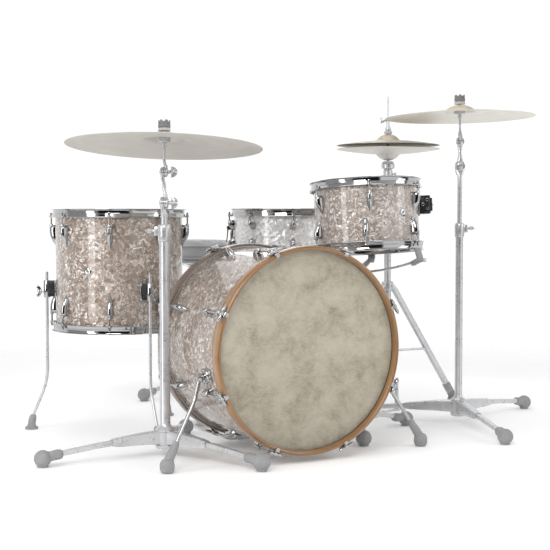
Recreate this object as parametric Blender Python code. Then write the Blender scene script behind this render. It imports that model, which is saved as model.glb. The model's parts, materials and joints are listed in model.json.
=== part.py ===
"""Acoustic drum kit: bass drum, floor tom, rack tom, snare, hi-hat, two cymbals, throne and kick pedal.

Metres, +Z up. The audience is on the -Y side and the bass drum's axis runs along Y. The kit stands
on z = 0 with the centre of its bounding box over the origin.
"""
import math

import bmesh
import bpy
from mathutils import Matrix, Vector

# ---- Driving dimensions (metres and degrees) --------------------------------------------------

GAP = 0.0003                # clearance between neighbouring solids
RUNNING = 0.0005            # radial clearance of a tube that slides in another
ROUND = 24                  # facets round a drum
FINE = 12                   # facets round a tube, hub or foot

BASS_R = 0.2794             # 22 inch shell
BASS_DEPTH = 0.3556         # 14 inches
BASS_HOOP_R = 0.2915
BASS_HOOP_WIDTH = 0.038
BASS_OVERALL = 0.406
BASS_Z = 0.3105             # height of the bass drum's axis

FLOOR_TOM_R = 0.2020        # 16 inch shell
FLOOR_TOM_DEPTH = 0.3556
FLOOR_TOM_AT = (-0.26, 0.58, 0.514)
FLOOR_TOM_LEG_ANGLES = (154, 34, -88)
FLOOR_TOM_LEG_R = 0.232     # leg rods' distance from the drum's axis
FLOOR_TOM_FOOT_R = 0.285
BRACKET_Z = (0.425, 0.475)

RACK_TOM_R = 0.1600
RACK_TOM_DEPTH = 0.1900
RACK_TOM_AT = (0.360, 0.082, 0.6805)
RACK_TOM_TILT = -5

SNARE_R = 0.1778            # 14 inch shell
SNARE_DEPTH = 0.1397
SNARE_AT = (0.346, 0.57, 0.6255)

SHELL_WALL = 0.008
HOOP_RISE = 0.0145          # how far a metal hoop stands above the shell's edge
HOOP_DEPTH = 0.0265

SPUR_ANGLE = -13            # pivot's place round the bass shell, below the horizontal
SPUR_Y = -0.10
SPUR_PIVOT_R = 0.3014
SPUR_FOOT = (0.41, -0.14)

VIEW_TURN = -28.6           # the tom mount and most ratchet axes face this way round Z

FOOT_R = 0.0235
FOOT_H = 0.047

RIDE_STAND = dict(name="ride", at=(-0.316, 0.089), legs=((179, 0.360), (-67, 0.355), (56, 0.355)),
                  lower_r=0.0148, post_r=0.0095, clamp_z=0.642, ratchet_z=0.721, tilter_z=0.808,
                  cymbal_z=0.880, cymbal_r=0.2795, turn=VIEW_TURN, tilt=-4.6, lean=1.4,
                  screw=VIEW_TURN + 180)
CRASH_STAND = dict(name="crash", at=(0.768, 0.150), legs=((253, 0.407), (18, 0.405), (136, 0.405)),
                   lower_r=0.0125, post_r=0.0080, clamp_z=0.644, ratchet_z=0.850, tilter_z=0.930,
                   cymbal_z=1.009, cymbal_r=0.245, turn=VIEW_TURN - 90, tilt=0.9, lean=-0.5,
                   screw=VIEW_TURN)

TOM_STAND_AT = (0.352, 0.153)
TOM_STAND_LEGS = ((7, 0.2284), (247, 0.2284), (127, 0.2284))
SNARE_STAND_LEGS = ((148, 0.24), (268, 0.24), (28, 0.24))

HIHAT_AT = (0.693, 0.462)
HIHAT_R = 0.179
HIHAT_LEGS = ((-2, 0.285), (194, 0.285))
HIHAT_PEDAL_TURN = 6        # the footboard points this far anticlockwise of +Y
HIHAT_JOINT_Z = 0.44        # collar where the legs meet the tube
HIHAT_STRUT_Z = 0.213
HIHAT_EDGE_Z = (0.915, 0.931)
HIHAT_ROD_Z = (0.675, 1.100)  # the rod starts above the base tube at its lowest height

THRONE_AT = (0.28, 1.19)
THRONE_LEGS = ((202, 0.265), (322, 0.265), (82, 0.265))
THRONE_SEAT_R = 0.170
THRONE_SEAT_Z = (0.510, 0.597)

KICK_Y = 0.238              # beater shaft's distance behind the bass drum's centre
KICK_SHAFT_Z = 0.215
KICK_HEEL_Y = 0.505
KICK_BEATER_REST = -42      # the beater leans back this far at rest

# colour, roughness, metallic
FINISHES = {
    "pearl": ((0.60, 0.53, 0.47), 0.25, 0.0),
    "chrome": ((0.82, 0.82, 0.83), 0.12, 1.0),
    "bright_steel": ((0.74, 0.75, 0.76), 0.25, 1.0),
    "fibre_head": ((0.52, 0.49, 0.40), 0.6, 0.0),
    "coated_head": ((0.85, 0.85, 0.83), 0.6, 0.0),
    "maple": ((0.45, 0.24, 0.11), 0.35, 0.0),
    "rubber": ((0.38, 0.38, 0.39), 0.8, 0.0),
    "bronze": ((0.66, 0.64, 0.60), 0.35, 1.0),
    "vinyl": ((0.22, 0.22, 0.23), 0.55, 0.0),
    "felt": ((0.80, 0.79, 0.77), 0.9, 0.0),
    "black_metal": ((0.03, 0.03, 0.03), 0.4, 0.5),
}


# ---- Making solids ----------------------------------------------------------------------------

def clear_scene():
    for obj in list(bpy.context.scene.objects):
        bpy.data.objects.remove(obj, do_unlink=True)


def polar(angle, radius, z=0.0):
    turn = math.radians(angle)
    return Vector((radius * math.cos(turn), radius * math.sin(turn), z))


def rotation(axis, angle):
    return Matrix.Rotation(math.radians(angle), 4, axis)


def moved(solid, *matrices):
    for matrix in matrices:
        solid.transform(matrix)
    return solid


def at(x, y, z):
    return Matrix.Translation((x, y, z))


def outward(solid):
    """Turn every face of a closed solid outwards."""
    bmesh.ops.recalc_face_normals(solid, faces=solid.faces)
    if solid.calc_volume(signed=True) < 0:
        bmesh.ops.reverse_faces(solid, faces=solid.faces)
    return solid


def turned(outline, segments=FINE):
    """Solid turned about Z from (radius, height) points; the outline closes on itself."""
    solid = bmesh.new()
    verts = [solid.verts.new((r, 0, z)) for r, z in outline]
    edges = [solid.edges.new(pair) for pair in zip(verts, verts[1:])]
    if outline[0][0] > 0:
        edges.append(solid.edges.new((verts[-1], verts[0])))
    bmesh.ops.spin(solid, geom=verts + edges, axis=(0, 0, 1), cent=(0, 0, 0),
                   angle=2 * math.pi, steps=segments, use_merge=True)
    bmesh.ops.remove_doubles(solid, verts=solid.verts, dist=1e-6)
    return outward(solid)


def drum_of(radius, low, high, segments=FINE):
    """Plain round bar between two heights."""
    return turned([(0, low), (radius, low), (radius, high), (0, high)], segments)


def ring_of(inner, outer, low, high, segments=FINE):
    return turned([(inner, low), (outer, low), (outer, high), (inner, high)], segments)


def lofted(rings):
    """Closed solid through a list of equal rings of points."""
    solid = bmesh.new()
    loops = [[solid.verts.new(point) for point in ring] for ring in rings]
    for first, second in zip(loops, loops[1:]):
        for k in range(len(first)):
            n = (k + 1) % len(first)
            solid.faces.new((first[k], first[n], second[n], second[k]))
    solid.faces.new(loops[0])
    solid.faces.new(loops[-1])
    return outward(solid)


def rod(points, radius, sides=10):
    """Round rod along straight runs, mitred where it bends."""
    points = [Vector(p) for p in points]
    side = (points[1] - points[0]).orthogonal()
    rings = []
    for k, point in enumerate(points):
        before = (point - points[max(k - 1, 0)]).normalized()
        after = (points[min(k + 1, len(points) - 1)] - point).normalized()
        along = (before + after).normalized()
        side = (side - along * side.dot(along)).normalized()
        other = along.cross(side)
        rings.append([point + (side * math.cos(a) + other * math.sin(a)) * radius
                      for a in (2 * math.pi * s / sides for s in range(sides))])
    return lofted(rings)


def bar(sections):
    """Rectangular bar through (centre, width, height) sections, level across its width."""
    centres = [Vector(centre) for centre, _, _ in sections]
    run = centres[-1] - centres[0]
    side = Vector((-run.y, run.x, 0)).normalized()
    rings = []
    for centre, (_, width, height) in zip(centres, sections):
        across, up = side * width / 2, Vector((0, 0, height / 2))
        rings.append([centre - across - up, centre + across - up,
                      centre + across + up, centre - across + up])
    return lofted(rings)


def block(size, centre):
    solid = bmesh.new()
    bmesh.ops.create_cube(solid, size=1)
    return moved(solid, Matrix.Diagonal((*size, 1)), at(*centre))


def to_mesh(name, solid):
    mesh = bpy.data.meshes.new(name)
    solid.to_mesh(mesh)
    solid.free()
    return mesh


def pile_of(name, solids):
    """Collection of loose pieces for a Boolean."""
    pile = bpy.data.collections.new(name)
    bpy.context.scene.collection.children.link(pile)
    for solid in solids:
        pile.objects.link(bpy.data.objects.new(name, to_mesh(name, solid)))
    return pile


def fused(name, solids, cuts=()):
    """One closed body from solids that run into each other, less the cuts."""
    base = bpy.data.objects.new(name, to_mesh(name, solids[0]))
    bpy.context.scene.collection.objects.link(base)
    piles = []
    for operation, group in (("UNION", solids[1:]), ("DIFFERENCE", cuts)):
        if group:
            piles.append(pile_of(name + "_pieces", group))
            join = base.modifiers.new(operation, "BOOLEAN")
            join.operation = operation
            join.operand_type = "COLLECTION"
            join.collection = piles[-1]
    depsgraph = bpy.context.evaluated_depsgraph_get()
    mesh = bpy.data.meshes.new_from_object(base.evaluated_get(depsgraph))
    bpy.data.objects.remove(base, do_unlink=True)
    for pile in piles:
        for piece in list(pile.objects):
            bpy.data.objects.remove(piece, do_unlink=True)
        bpy.data.collections.remove(pile)
    return mesh


def finish_material(name):
    material = bpy.data.materials.get(name)
    if material is None:
        colour, roughness, metallic = FINISHES[name]
        material = bpy.data.materials.new(name)
        material.use_nodes = True
        shader = material.node_tree.nodes["Principled BSDF"]
        shader.inputs["Base Color"].default_value = (*colour, 1)
        shader.inputs["Roughness"].default_value = roughness
        shader.inputs["Metallic"].default_value = metallic
    return material


def part(name, shape, finish, parent, location=(0, 0, 0), turn=(0, 0, 0)):
    """Named sub-part; its origin is on its joint's axis when it moves."""
    mesh = to_mesh(name, shape) if isinstance(shape, bmesh.types.BMesh) else shape
    mesh.shade_smooth()
    mesh.set_sharp_from_angle(angle=math.radians(35))
    mesh.materials.clear()
    mesh.materials.append(finish_material(finish))
    obj = bpy.data.objects.new(name, mesh)
    bpy.context.scene.collection.objects.link(obj)
    place(obj, parent, location, turn)
    return obj


def place(obj, parent, location, turn):
    obj.parent = parent
    obj.location = location
    obj.rotation_euler = [math.radians(angle) for angle in turn]


def pivot(name, parent, location=(0, 0, 0), turn=(0, 0, 0)):
    """Empty that carries a unit or a joint's axis."""
    empty = bpy.data.objects.new(name, None)
    bpy.context.scene.collection.objects.link(empty)
    place(empty, parent, location, turn)
    return empty


# ---- Drums --------------------------------------------------------------------------------------

def shell_solid(radius, depth):
    return ring_of(radius - SHELL_WALL, radius, -depth / 2, depth / 2, ROUND)


def head_solid(radius, edge):
    """Film over the shell's edge at height `edge`, with its flesh hoop round the shell."""
    skirt, rim = radius + 0.0008, radius + 0.0055
    return turned([(0, edge + GAP), (skirt, edge + GAP), (skirt, edge - 0.009), (rim, edge - 0.009),
                   (rim, edge + 0.0013), (0, edge + 0.0013)], ROUND)


def metal_hoop_solid(radius, edge):
    """Triple-flanged hoop round a head whose shell edge is at height `edge`."""
    inner, wall, flange = radius + 0.0062, radius + 0.0088, radius + 0.0125
    top = edge + HOOP_RISE
    low = top - HOOP_DEPTH
    return turned([(inner, low), (flange, low), (flange, low + 0.0025), (wall, low + 0.004),
                   (wall, top - 0.0045), (flange, top - 0.002), (flange, top), (inner, top)], ROUND)


def wood_hoop_solid(edge):
    """Bass drum hoop: the lip presses the flesh hoop and the rebate goes round it."""
    front = BASS_OVERALL / 2
    rebate = edge + 0.0016
    return turned([(BASS_R - 0.0009, rebate), (BASS_R + 0.0062, rebate),
                   (BASS_R + 0.0062, front - BASS_HOOP_WIDTH), (BASS_HOOP_R, front - BASS_HOOP_WIDTH),
                   (BASS_HOOP_R, front), (BASS_R - 0.0009, front)], ROUND)


def upside_down(solid):
    return moved(solid, rotation("X", 180))


def make_tom_heads(name, radius, depth, parent):
    """Heads and hoops of a drum that lies with its axis along the parent's Z."""
    part(name + "_batter_head", head_solid(radius, depth / 2), "coated_head", parent)
    part(name + "_resonant_head", upside_down(head_solid(radius, depth / 2)), "coated_head", parent)
    part(name + "_batter_hoop", metal_hoop_solid(radius, depth / 2), "chrome", parent)
    part(name + "_resonant_hoop", upside_down(metal_hoop_solid(radius, depth / 2)), "chrome", parent)


def foot_solid(at_point):
    """Rubber foot, flat where it meets the floor."""
    outline = [(0, 0), (0.015, 0), (FOOT_R, 0.011), (FOOT_R, 0.034), (0.016, FOOT_H - 0.003), (0, FOOT_H)]
    return moved(turned(outline, 10), at(*at_point))


def make_spur(side, kit):
    """Folding spur; `side` is +1 on the +X side and -1 on the other."""
    name = "right" if side > 0 else "left"
    radial = polar(SPUR_ANGLE, 1)
    pivot_at = Vector((side * radial.x * SPUR_PIVOT_R, SPUR_Y, BASS_Z + radial.y * SPUR_PIVOT_R))
    boss = turned([(0, BASS_R + 2 * GAP), (0.024, BASS_R + 2 * GAP), (0.024, 0.284), (0.013, 0.2935),
                   (0, 0.2935)])
    lay_outward = rotation("Y", 90 - SPUR_ANGLE)
    bracket = outward(moved(boss, lay_outward, Matrix.Diagonal((side, 1, 1, 1))))
    part(f"bass_spur_bracket_{name}", bracket, "chrome", kit, (0, SPUR_Y, BASS_Z))
    foot = Vector((side * SPUR_FOOT[0], SPUR_FOOT[1], 0)) - Vector((pivot_at.x, pivot_at.y, pivot_at.z))
    knee = Vector((side * 0.020, -0.007, -0.058))
    ankle = foot + Vector((0, 0, 0.025))
    outline = [(0, 0), (0.013, 0), (0.020, 0.009), (0.020, 0.027), (0.013, 0.038), (0, 0.040)]
    tip = moved(turned(outline, 10), at(*foot))
    neck = rod([ankle.lerp(knee, 0.25), ankle], 0.0125, 8)
    leg = rod([Vector((0, 0, 0)), knee, ankle], 0.0055, 8)
    part(f"bass_spur_{name}", fused("spur", [leg, neck, tip]), "chrome", kit, pivot_at)


def make_bass_drum(kit):
    drum = pivot("bass_drum", kit, (0, 0, BASS_Z), (90, 0, 0))
    edge = BASS_DEPTH / 2
    part("bass_shell", shell_solid(BASS_R, BASS_DEPTH), "pearl", drum)
    part("bass_front_head", head_solid(BASS_R, edge), "fibre_head", drum)
    part("bass_batter_head", upside_down(head_solid(BASS_R, edge)), "coated_head", drum)
    part("bass_front_hoop", wood_hoop_solid(edge), "maple", drum)
    part("bass_batter_hoop", upside_down(wood_hoop_solid(edge)), "maple", drum)
    for side in (-1, 1):
        make_spur(side, kit)


def floor_tom_bracket(angle):
    """Clamp block on the shell that a leg slides through."""
    low, high = (z - FLOOR_TOM_AT[2] for z in BRACKET_Z)
    middle = (low + high) / 2
    body = block((0.050, 0.034, high - low), (FLOOR_TOM_LEG_R - 0.012, 0, middle))
    screw = moved(drum_of(0.006, 0, 0.022, 8), rotation("Y", 90), at(FLOOR_TOM_LEG_R + 0.010, 0, middle))
    bore = moved(drum_of(0.005 + RUNNING, low - 0.01, high + 0.01), at(FLOOR_TOM_LEG_R, 0, 0))
    return [moved(solid, rotation("Z", angle)) for solid in (body, screw, bore)]


def make_floor_tom(kit):
    drum = pivot("floor_tom", kit, FLOOR_TOM_AT)
    brackets = [floor_tom_bracket(angle) for angle in FLOOR_TOM_LEG_ANGLES]
    solids = [shell_solid(FLOOR_TOM_R, FLOOR_TOM_DEPTH)]
    for body, screw, _ in brackets:
        solids += [body, screw]
    inside = drum_of(FLOOR_TOM_R - SHELL_WALL, -0.1, 0.1, ROUND)
    shell = fused("floor_tom_shell", solids, [bore for _, _, bore in brackets] + [inside])
    part("floor_tom_shell", shell, "pearl", drum)
    make_tom_heads("floor_tom", FLOOR_TOM_R, FLOOR_TOM_DEPTH, drum)
    for number, angle in enumerate(FLOOR_TOM_LEG_ANGLES, 1):
        reach = FLOOR_TOM_FOOT_R - FLOOR_TOM_LEG_R
        leg = rod([(0, 0, 0.505), (0, 0, 0.155), (reach, 0, 0.02)], 0.005)
        foot = moved(turned([(0, 0), (0.021, 0), (0.0215, 0.006), (0.014, 0.014),
                             (0.014, 0.042), (0, 0.042)], 10),
                     at(reach, 0, 0))
        place_at = Vector(FLOOR_TOM_AT) + polar(angle, FLOOR_TOM_LEG_R)
        part(f"floor_tom_leg_{number}", fused("leg", [leg, foot]), "chrome", kit,
             (place_at.x, place_at.y, 0), (0, 0, angle))


# ---- Flat-based stands ----------------------------------------------------------------------------

def flat_leg(angle, reach):
    """Channel leg that narrows to a bar and ends in a rubber foot."""
    sections = [(polar(angle, -0.003, 0.056), 0.026, 0.034),
                (polar(angle, reach * 0.42, 0.050), 0.022, 0.024),
                (polar(angle, reach * 0.50, 0.047), 0.016, 0.012),
                (polar(angle, reach - 0.010, 0.028), 0.015, 0.010)]
    neck = rod([polar(angle, reach - 0.052, 0.032), polar(angle, reach - 0.006, 0.0245)], 0.0145, 8)
    return [bar(sections), neck, foot_solid(polar(angle, reach))]


def lower_tube(radius, bore, top):
    """Tube with a closed bottom in the hub and a height clamp at its top."""
    return turned([(0, 0.022), (radius + 0.011, 0.022), (radius + 0.013, 0.030), (radius + 0.013, 0.077),
                   (radius, 0.085), (radius, top - 0.040), (radius + 0.003, top - 0.036),
                   (radius + 0.003, top), (bore, top), (bore, 0.090), (0, 0.090)])


def clamp_screw(radius, top, facing):
    """Wing screw of a height clamp, pointing along the angle `facing`."""
    spindle = moved(drum_of(0.004, 0, 0.030, 8), rotation("Y", 90), at(radius, 0, top - 0.018))
    wings = block((0.006, 0.034, 0.012), (radius + 0.0315, 0, top - 0.018))
    return [moved(solid, rotation("Z", facing)) for solid in (spindle, wings)]


def make_base(name, parent, legs, radius, bore, top, facing=VIEW_TURN):
    solids = [lower_tube(radius, bore, top)]
    for angle, reach in legs:
        solids += flat_leg(angle, reach)
    solids += clamp_screw(radius, top, facing)
    part(name, fused(name, solids), "bright_steel", parent)


def half_ratchet(side, radius, thickness, knob=False):
    """Toothed disc on one side of a ratchet whose axis is X; `side` is -1 or +1."""
    face = 0.00035
    disc = moved(drum_of(radius, face, thickness), rotation("Y", 90 * side))
    if not knob:
        return [disc]
    boss = moved(drum_of(0.005, thickness - 0.002, thickness + 0.010, 8), rotation("Y", 90 * side))
    grip = turned([(0, thickness + 0.008), (0.0135, thickness + 0.008), (0.0155, thickness + 0.012),
                   (0.0155, thickness + 0.018), (0.012, thickness + 0.021), (0, thickness + 0.021)], 12)
    return [disc, boss, moved(grip, rotation("Y", 90 * side))]


def make_cymbal_stand(spec, kit):
    name, post_r = spec["name"], spec["post_r"]
    stand = pivot(name + "_stand", kit, (*spec["at"], 0))
    clamp_top = spec["clamp_z"] + 0.018
    bore = post_r + RUNNING
    make_base(f"{name}_stand_base", stand, spec["legs"], spec["lower_r"], bore, clamp_top, spec["screw"])

    turn = pivot(name + "_ratchet_axis", stand, (0, 0, spec["ratchet_z"]), (0, 0, spec["turn"]))
    neck_top = -0.021
    post = drum_of(post_r, 0.36 - spec["ratchet_z"], neck_top)
    cheek = block((0.0102, 0.022, 0.030), (-0.0056, 0, -0.020))
    post_parts = [post, cheek, *half_ratchet(-1, 0.017, 0.011)]
    part(f"{name}_stand_post", fused("post", post_parts), "bright_steel", turn)

    rise = spec["tilter_z"] - spec["ratchet_z"]
    stem = drum_of(0.0055, 0.0185, rise - 0.0185, 10)
    foot_link = block((0.0102, 0.016, 0.014), (0.0056, 0, 0.0215))
    head_link = block((0.0102, 0.014, 0.014), (-0.0056, 0, rise - 0.0200))
    upper_disc = [moved(solid, at(0, 0, rise)) for solid in half_ratchet(-1, 0.014, 0.010)]
    arm = [stem, foot_link, head_link, *upper_disc, *half_ratchet(1, 0.017, 0.011, knob=True)]
    part(f"{name}_stand_arm", fused("arm", arm), "bright_steel", turn)

    tilter = pivot(name + "_tilter_axis", turn, (0, 0, rise), (spec["tilt"], 0, 0))
    edge = spec["cymbal_z"] - spec["tilter_z"]
    bow, bell = 0.075 * spec["cymbal_r"], 0.021
    seat = edge + bow + bell - 0.0035
    rod_solid = drum_of(0.004, 0.0155, seat + 0.040, 10)
    sleeve = turned([(0, seat - 0.040), (0.006, seat - 0.040), (0.006, seat - 0.026), (0.016, seat - 0.025),
                     (0.018, seat - 0.022), (0.018, seat - 0.004), (0, seat - 0.004)])
    link = block((0.0094, 0.012, 0.012), (0.0052, 0, 0.0185))
    tilt_parts = [rod_solid, sleeve, link, *half_ratchet(1, 0.014, 0.010, knob=True)]
    part(f"{name}_tilter", fused("tilter", tilt_parts), "bright_steel", tilter)

    nut = turned([(0.004 + GAP, seat + 0.006), (0.018, seat + 0.006), (0.018, seat + 0.016),
                  (0.009, seat + 0.017), (0.014, seat + 0.022), (0.015, seat + 0.035),
                  (0.004 + GAP, seat + 0.033)])
    part(f"{name}_wing_nut", nut, "rubber", tilter)
    part(f"{name}_cymbal", cymbal_solid(spec["cymbal_r"], bow, bell), "bronze", tilter,
         (0, 0, edge), (0, spec["lean"], 0))


def cymbal_solid(radius, bow, bell, thickness=0.0014):
    """Cymbal with its edge at height 0 and its bell at `bow + bell`."""
    bell_r = 0.19 * radius + 0.008
    top = [(0.0065, bow + bell), (bell_r * 0.60, bow + bell * 0.80), (bell_r, bow),
           (radius * 0.62, bow * 0.56),
           (radius, 0)]
    under = [(r, z - thickness) for r, z in reversed(top)]
    return turned(top + under, ROUND)


# ---- Drum stands ------------------------------------------------------------------------------------

def basket_arm(angle, hub_z, hoop_r, hoop_z, centre):
    """Arm from the basket's hub to a rubber grip round the bottom hoop's flange."""
    start = Vector((0, 0, hub_z))
    tip = centre + polar(angle, hoop_r + 0.012, hoop_z - 0.020)
    arm = rod([start, start.lerp(tip, 0.55) - Vector((0, 0, 0.010)), tip], 0.007, 8)
    out = polar(angle, 1)
    shelf = bar([(tip - out * 0.020, 0.020, 0.014), (tip + out * 0.004, 0.020, 0.014)])
    lip = bar([(tip - out * 0.003, 0.023, 0.046), (tip + out * 0.009, 0.023, 0.046)])
    return [arm, shelf, moved(lip, at(0, 0, 0.016))]


def make_drum_stand(name, kit, spot, legs, hub_z, tilt_z, hoop, arm_angles):
    """Flat base, post and tilting basket; `hoop` is (x, y, z, radius) of the drum's bottom hoop."""
    stand = pivot(name, kit, (*spot, 0))
    make_base(name + "_base", stand, legs, 0.0125, 0.0095 + RUNNING, tilt_z - 0.060)
    axis = pivot(name + "_tilt_axis", stand, (0, 0, tilt_z))
    post = [drum_of(0.0095, -0.30, -0.019), block((0.0102, 0.020, 0.030), (-0.0056, 0, -0.020)),
            *half_ratchet(-1, 0.016, 0.011)]
    part(name + "_post", fused("post", post), "bright_steel", axis)
    centre = Vector((hoop[0] - spot[0], hoop[1] - spot[1], 0))
    lift = hub_z - tilt_z
    hub = drum_of(0.014, lift - 0.012, lift + 0.010)
    link = block((0.0102, 0.020, lift), (0.0056, 0, lift / 2))
    solids = [hub, link, *half_ratchet(1, 0.016, 0.011, knob=True)]
    for angle in arm_angles:
        solids += basket_arm(angle, lift, hoop[3], hoop[2] - tilt_z, centre)
    part(name + "_basket", fused("basket", solids), "bright_steel", axis)
    return axis


def make_rack_tom(kit):
    tilt = math.radians(RACK_TOM_TILT)
    below = RACK_TOM_DEPTH / 2 + HOOP_RISE
    bottom = Vector(RACK_TOM_AT) - Vector((0, -math.sin(tilt), math.cos(tilt))) * below
    hoop = (bottom.x, bottom.y, bottom.z, RACK_TOM_R + 0.0125)
    axis = make_drum_stand("tom_stand", kit, TOM_STAND_AT, TOM_STAND_LEGS, 0.508, 0.475, hoop,
                           (VIEW_TURN - 38, VIEW_TURN + 82, VIEW_TURN + 202))
    place_at = Vector(RACK_TOM_AT) - Vector((*TOM_STAND_AT, 0.475))
    drum = pivot("rack_tom", axis, place_at, (RACK_TOM_TILT, 0, 0))
    part("rack_tom_shell", shell_solid(RACK_TOM_R, RACK_TOM_DEPTH), "pearl", drum)
    make_tom_heads("rack_tom", RACK_TOM_R, RACK_TOM_DEPTH, drum)
    plate = block((0.006, 0.034, 0.062), (RACK_TOM_R + 0.0035, 0, 0.030))
    clamp = block((0.034, 0.036, 0.046), (RACK_TOM_R + 0.0230, 0, 0.032))
    screw = moved(drum_of(0.009, 0, 0.012, 12), rotation("Y", 90), at(RACK_TOM_R + 0.039, 0, 0.032))
    mount = fused("mount", [plate, clamp, screw])
    part("rack_tom_mount", mount, "black_metal", drum, turn=(0, 0, VIEW_TURN))


def make_snare(kit):
    bottom_z = SNARE_AT[2] - SNARE_DEPTH / 2 - HOOP_RISE
    hoop = (SNARE_AT[0], SNARE_AT[1], bottom_z, SNARE_R + 0.0125)
    axis = make_drum_stand("snare_stand", kit, SNARE_AT[:2], SNARE_STAND_LEGS, 0.478, 0.440, hoop,
                           (-30, 90, 210))
    drum = pivot("snare", axis, (0, 0, SNARE_AT[2] - 0.440))
    part("snare_shell", shell_solid(SNARE_R, SNARE_DEPTH), "pearl", drum)
    make_tom_heads("snare", SNARE_R, SNARE_DEPTH, drum)
    side = pivot("snare_strainer_side", drum, turn=(0, 0, 150))
    frame = [block((0.010, 0.030, 0.080), (SNARE_R + 0.0056, 0, -0.006)),
             block((0.014, 0.008, 0.016), (SNARE_R + 0.0140, -0.0105, 0.020))]
    part("snare_strainer", fused("strainer", frame), "chrome", side)
    lever = [moved(drum_of(0.006, -0.006, 0.010, 10), rotation("X", 90)),
             block((0.006, 0.010, 0.052), (0.0025, 0.002, -0.026))]
    part("snare_lever", fused("lever", lever), "chrome", side, (SNARE_R + 0.0190, 0.005, 0.020))


# ---- Hi-hat -------------------------------------------------------------------------------------------

def make_hihat(kit):
    stand = pivot("hihat_stand", kit, (*HIHAT_AT, 0))
    tube = turned([(0.0045, 0.102), (0.0125, 0.102), (0.0125, 0.560), (0.0155, 0.565), (0.0155, 0.600),
                   (0.0100, 0.600), (0.0100, 0.118), (0.0045, 0.118)])
    collar = ring_of(0.0115, 0.022, HIHAT_JOINT_Z - 0.016, HIHAT_JOINT_Z + 0.016, 14)
    brace_collar = ring_of(0.0115, 0.020, HIHAT_STRUT_Z - 0.012, HIHAT_STRUT_Z + 0.012, 14)
    solids = [tube, collar, brace_collar]
    for angle, reach in HIHAT_LEGS:
        start, end = polar(angle, 0.0218, HIHAT_JOINT_Z - 0.002), polar(angle, reach, 0.026)
        brace_at = (start.z - HIHAT_STRUT_Z) / (start.z - end.z)
        solids.append(rod([start, end], 0.0095, 10))
        solids.append(bar([(polar(angle, 0.015, HIHAT_STRUT_Z), 0.014, 0.008),
                           (start.lerp(end, brace_at), 0.014, 0.008)]))
        solids.append(rod([start.lerp(end, 0.87), start.lerp(end, 0.985)], 0.0145, 9))
        solids.append(foot_solid(polar(angle, reach)))
    turn = rotation("Z", HIHAT_PEDAL_TURN)
    yoke = [block((0.100, 0.016, 0.010), (0, 0, 0.104)), block((0.100, 0.030, 0.006), (0, 0, 0.0035)),
            block((0.100, 0.060, 0.008), (0, 0.265, 0.0048))]
    for side in (-1, 1):
        yoke.append(block((0.009, 0.014, 0.100), (side * 0.0440, 0, 0.0520)))
        yoke.append(block((0.008, 0.250, 0.0044), (side * 0.0450, 0.125, 0.0040)))
    solids += [moved(solid, turn) for solid in yoke]
    part("hihat_base", fused("hihat_base", solids), "bright_steel", stand)

    low_edge, high_edge = HIHAT_EDGE_Z
    bow, bell = 0.016, 0.022
    seat = low_edge - bow - bell - 0.0015
    upper = turned([(0.0045, 0.330), (0.0095, 0.330), (0.0095, seat - 0.030), (0.016, seat - 0.026),
                    (0.022, seat - 0.022), (0.022, seat - 0.006), (0.014, seat - 0.0015),
                    (0.0045, seat - 0.0015)])
    part("hihat_tube", upper, "bright_steel", stand)
    part("hihat_bottom_cymbal", upside_down(cymbal_solid(HIHAT_R, bow, bell)), "bronze", stand,
         (0, 0, low_edge))
    part("hihat_top_cymbal", cymbal_solid(HIHAT_R, bow, bell), "bronze", stand, (0, 0, high_edge))
    top = high_edge + bow + bell
    rod_low, rod_top = HIHAT_ROD_Z
    rod_and_clutch = turned([(0, rod_low), (0.003, rod_low), (0.003, top - 0.030), (0.0058, top - 0.028),
                             (0.0058, top + 0.0012), (0.016, top + 0.0012), (0.016, top + 0.009),
                             (0.0085, top + 0.011), (0.0085, top + 0.036), (0.003, top + 0.038),
                             (0.003, rod_top), (0, rod_top)])
    part("hihat_rod", rod_and_clutch, "bright_steel", stand)
    heel = pivot("hihat_heel_axis", stand, turn @ Vector((0, 0.262, 0.016)), (0, 0, HIHAT_PEDAL_TURN))
    board = bar([((0, 0.0, 0.0), 0.072, 0.006), ((0, -0.225, 0.070), 0.060, 0.006)])
    hinge = moved(drum_of(0.0045, -0.034, 0.034, 10), rotation("Y", 90))
    part("hihat_footboard", fused("footboard", [board, hinge]), "bright_steel", heel)


# ---- Throne and kick pedal ------------------------------------------------------------------------------

def make_throne(kit):
    throne = pivot("throne", kit, (*THRONE_AT, 0))
    make_base("throne_base", throne, THRONE_LEGS, 0.0160, 0.0125 + RUNNING, 0.360)
    low, high = THRONE_SEAT_Z
    post = turned([(0, 0.180), (0.0125, 0.180), (0.0125, low - 0.014), (0.050, low - 0.010),
                   (0.055, low - GAP - 0.002), (0, low - GAP - 0.002)])
    part("throne_post", post, "bright_steel", throne)
    seat = turned([(0, low), (THRONE_SEAT_R - 0.008, low), (THRONE_SEAT_R, low + 0.012),
                   (THRONE_SEAT_R, high - 0.022), (THRONE_SEAT_R - 0.020, high - 0.004), (0, high)], ROUND)
    part("throne_seat", seat, "vinyl", throne)


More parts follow.
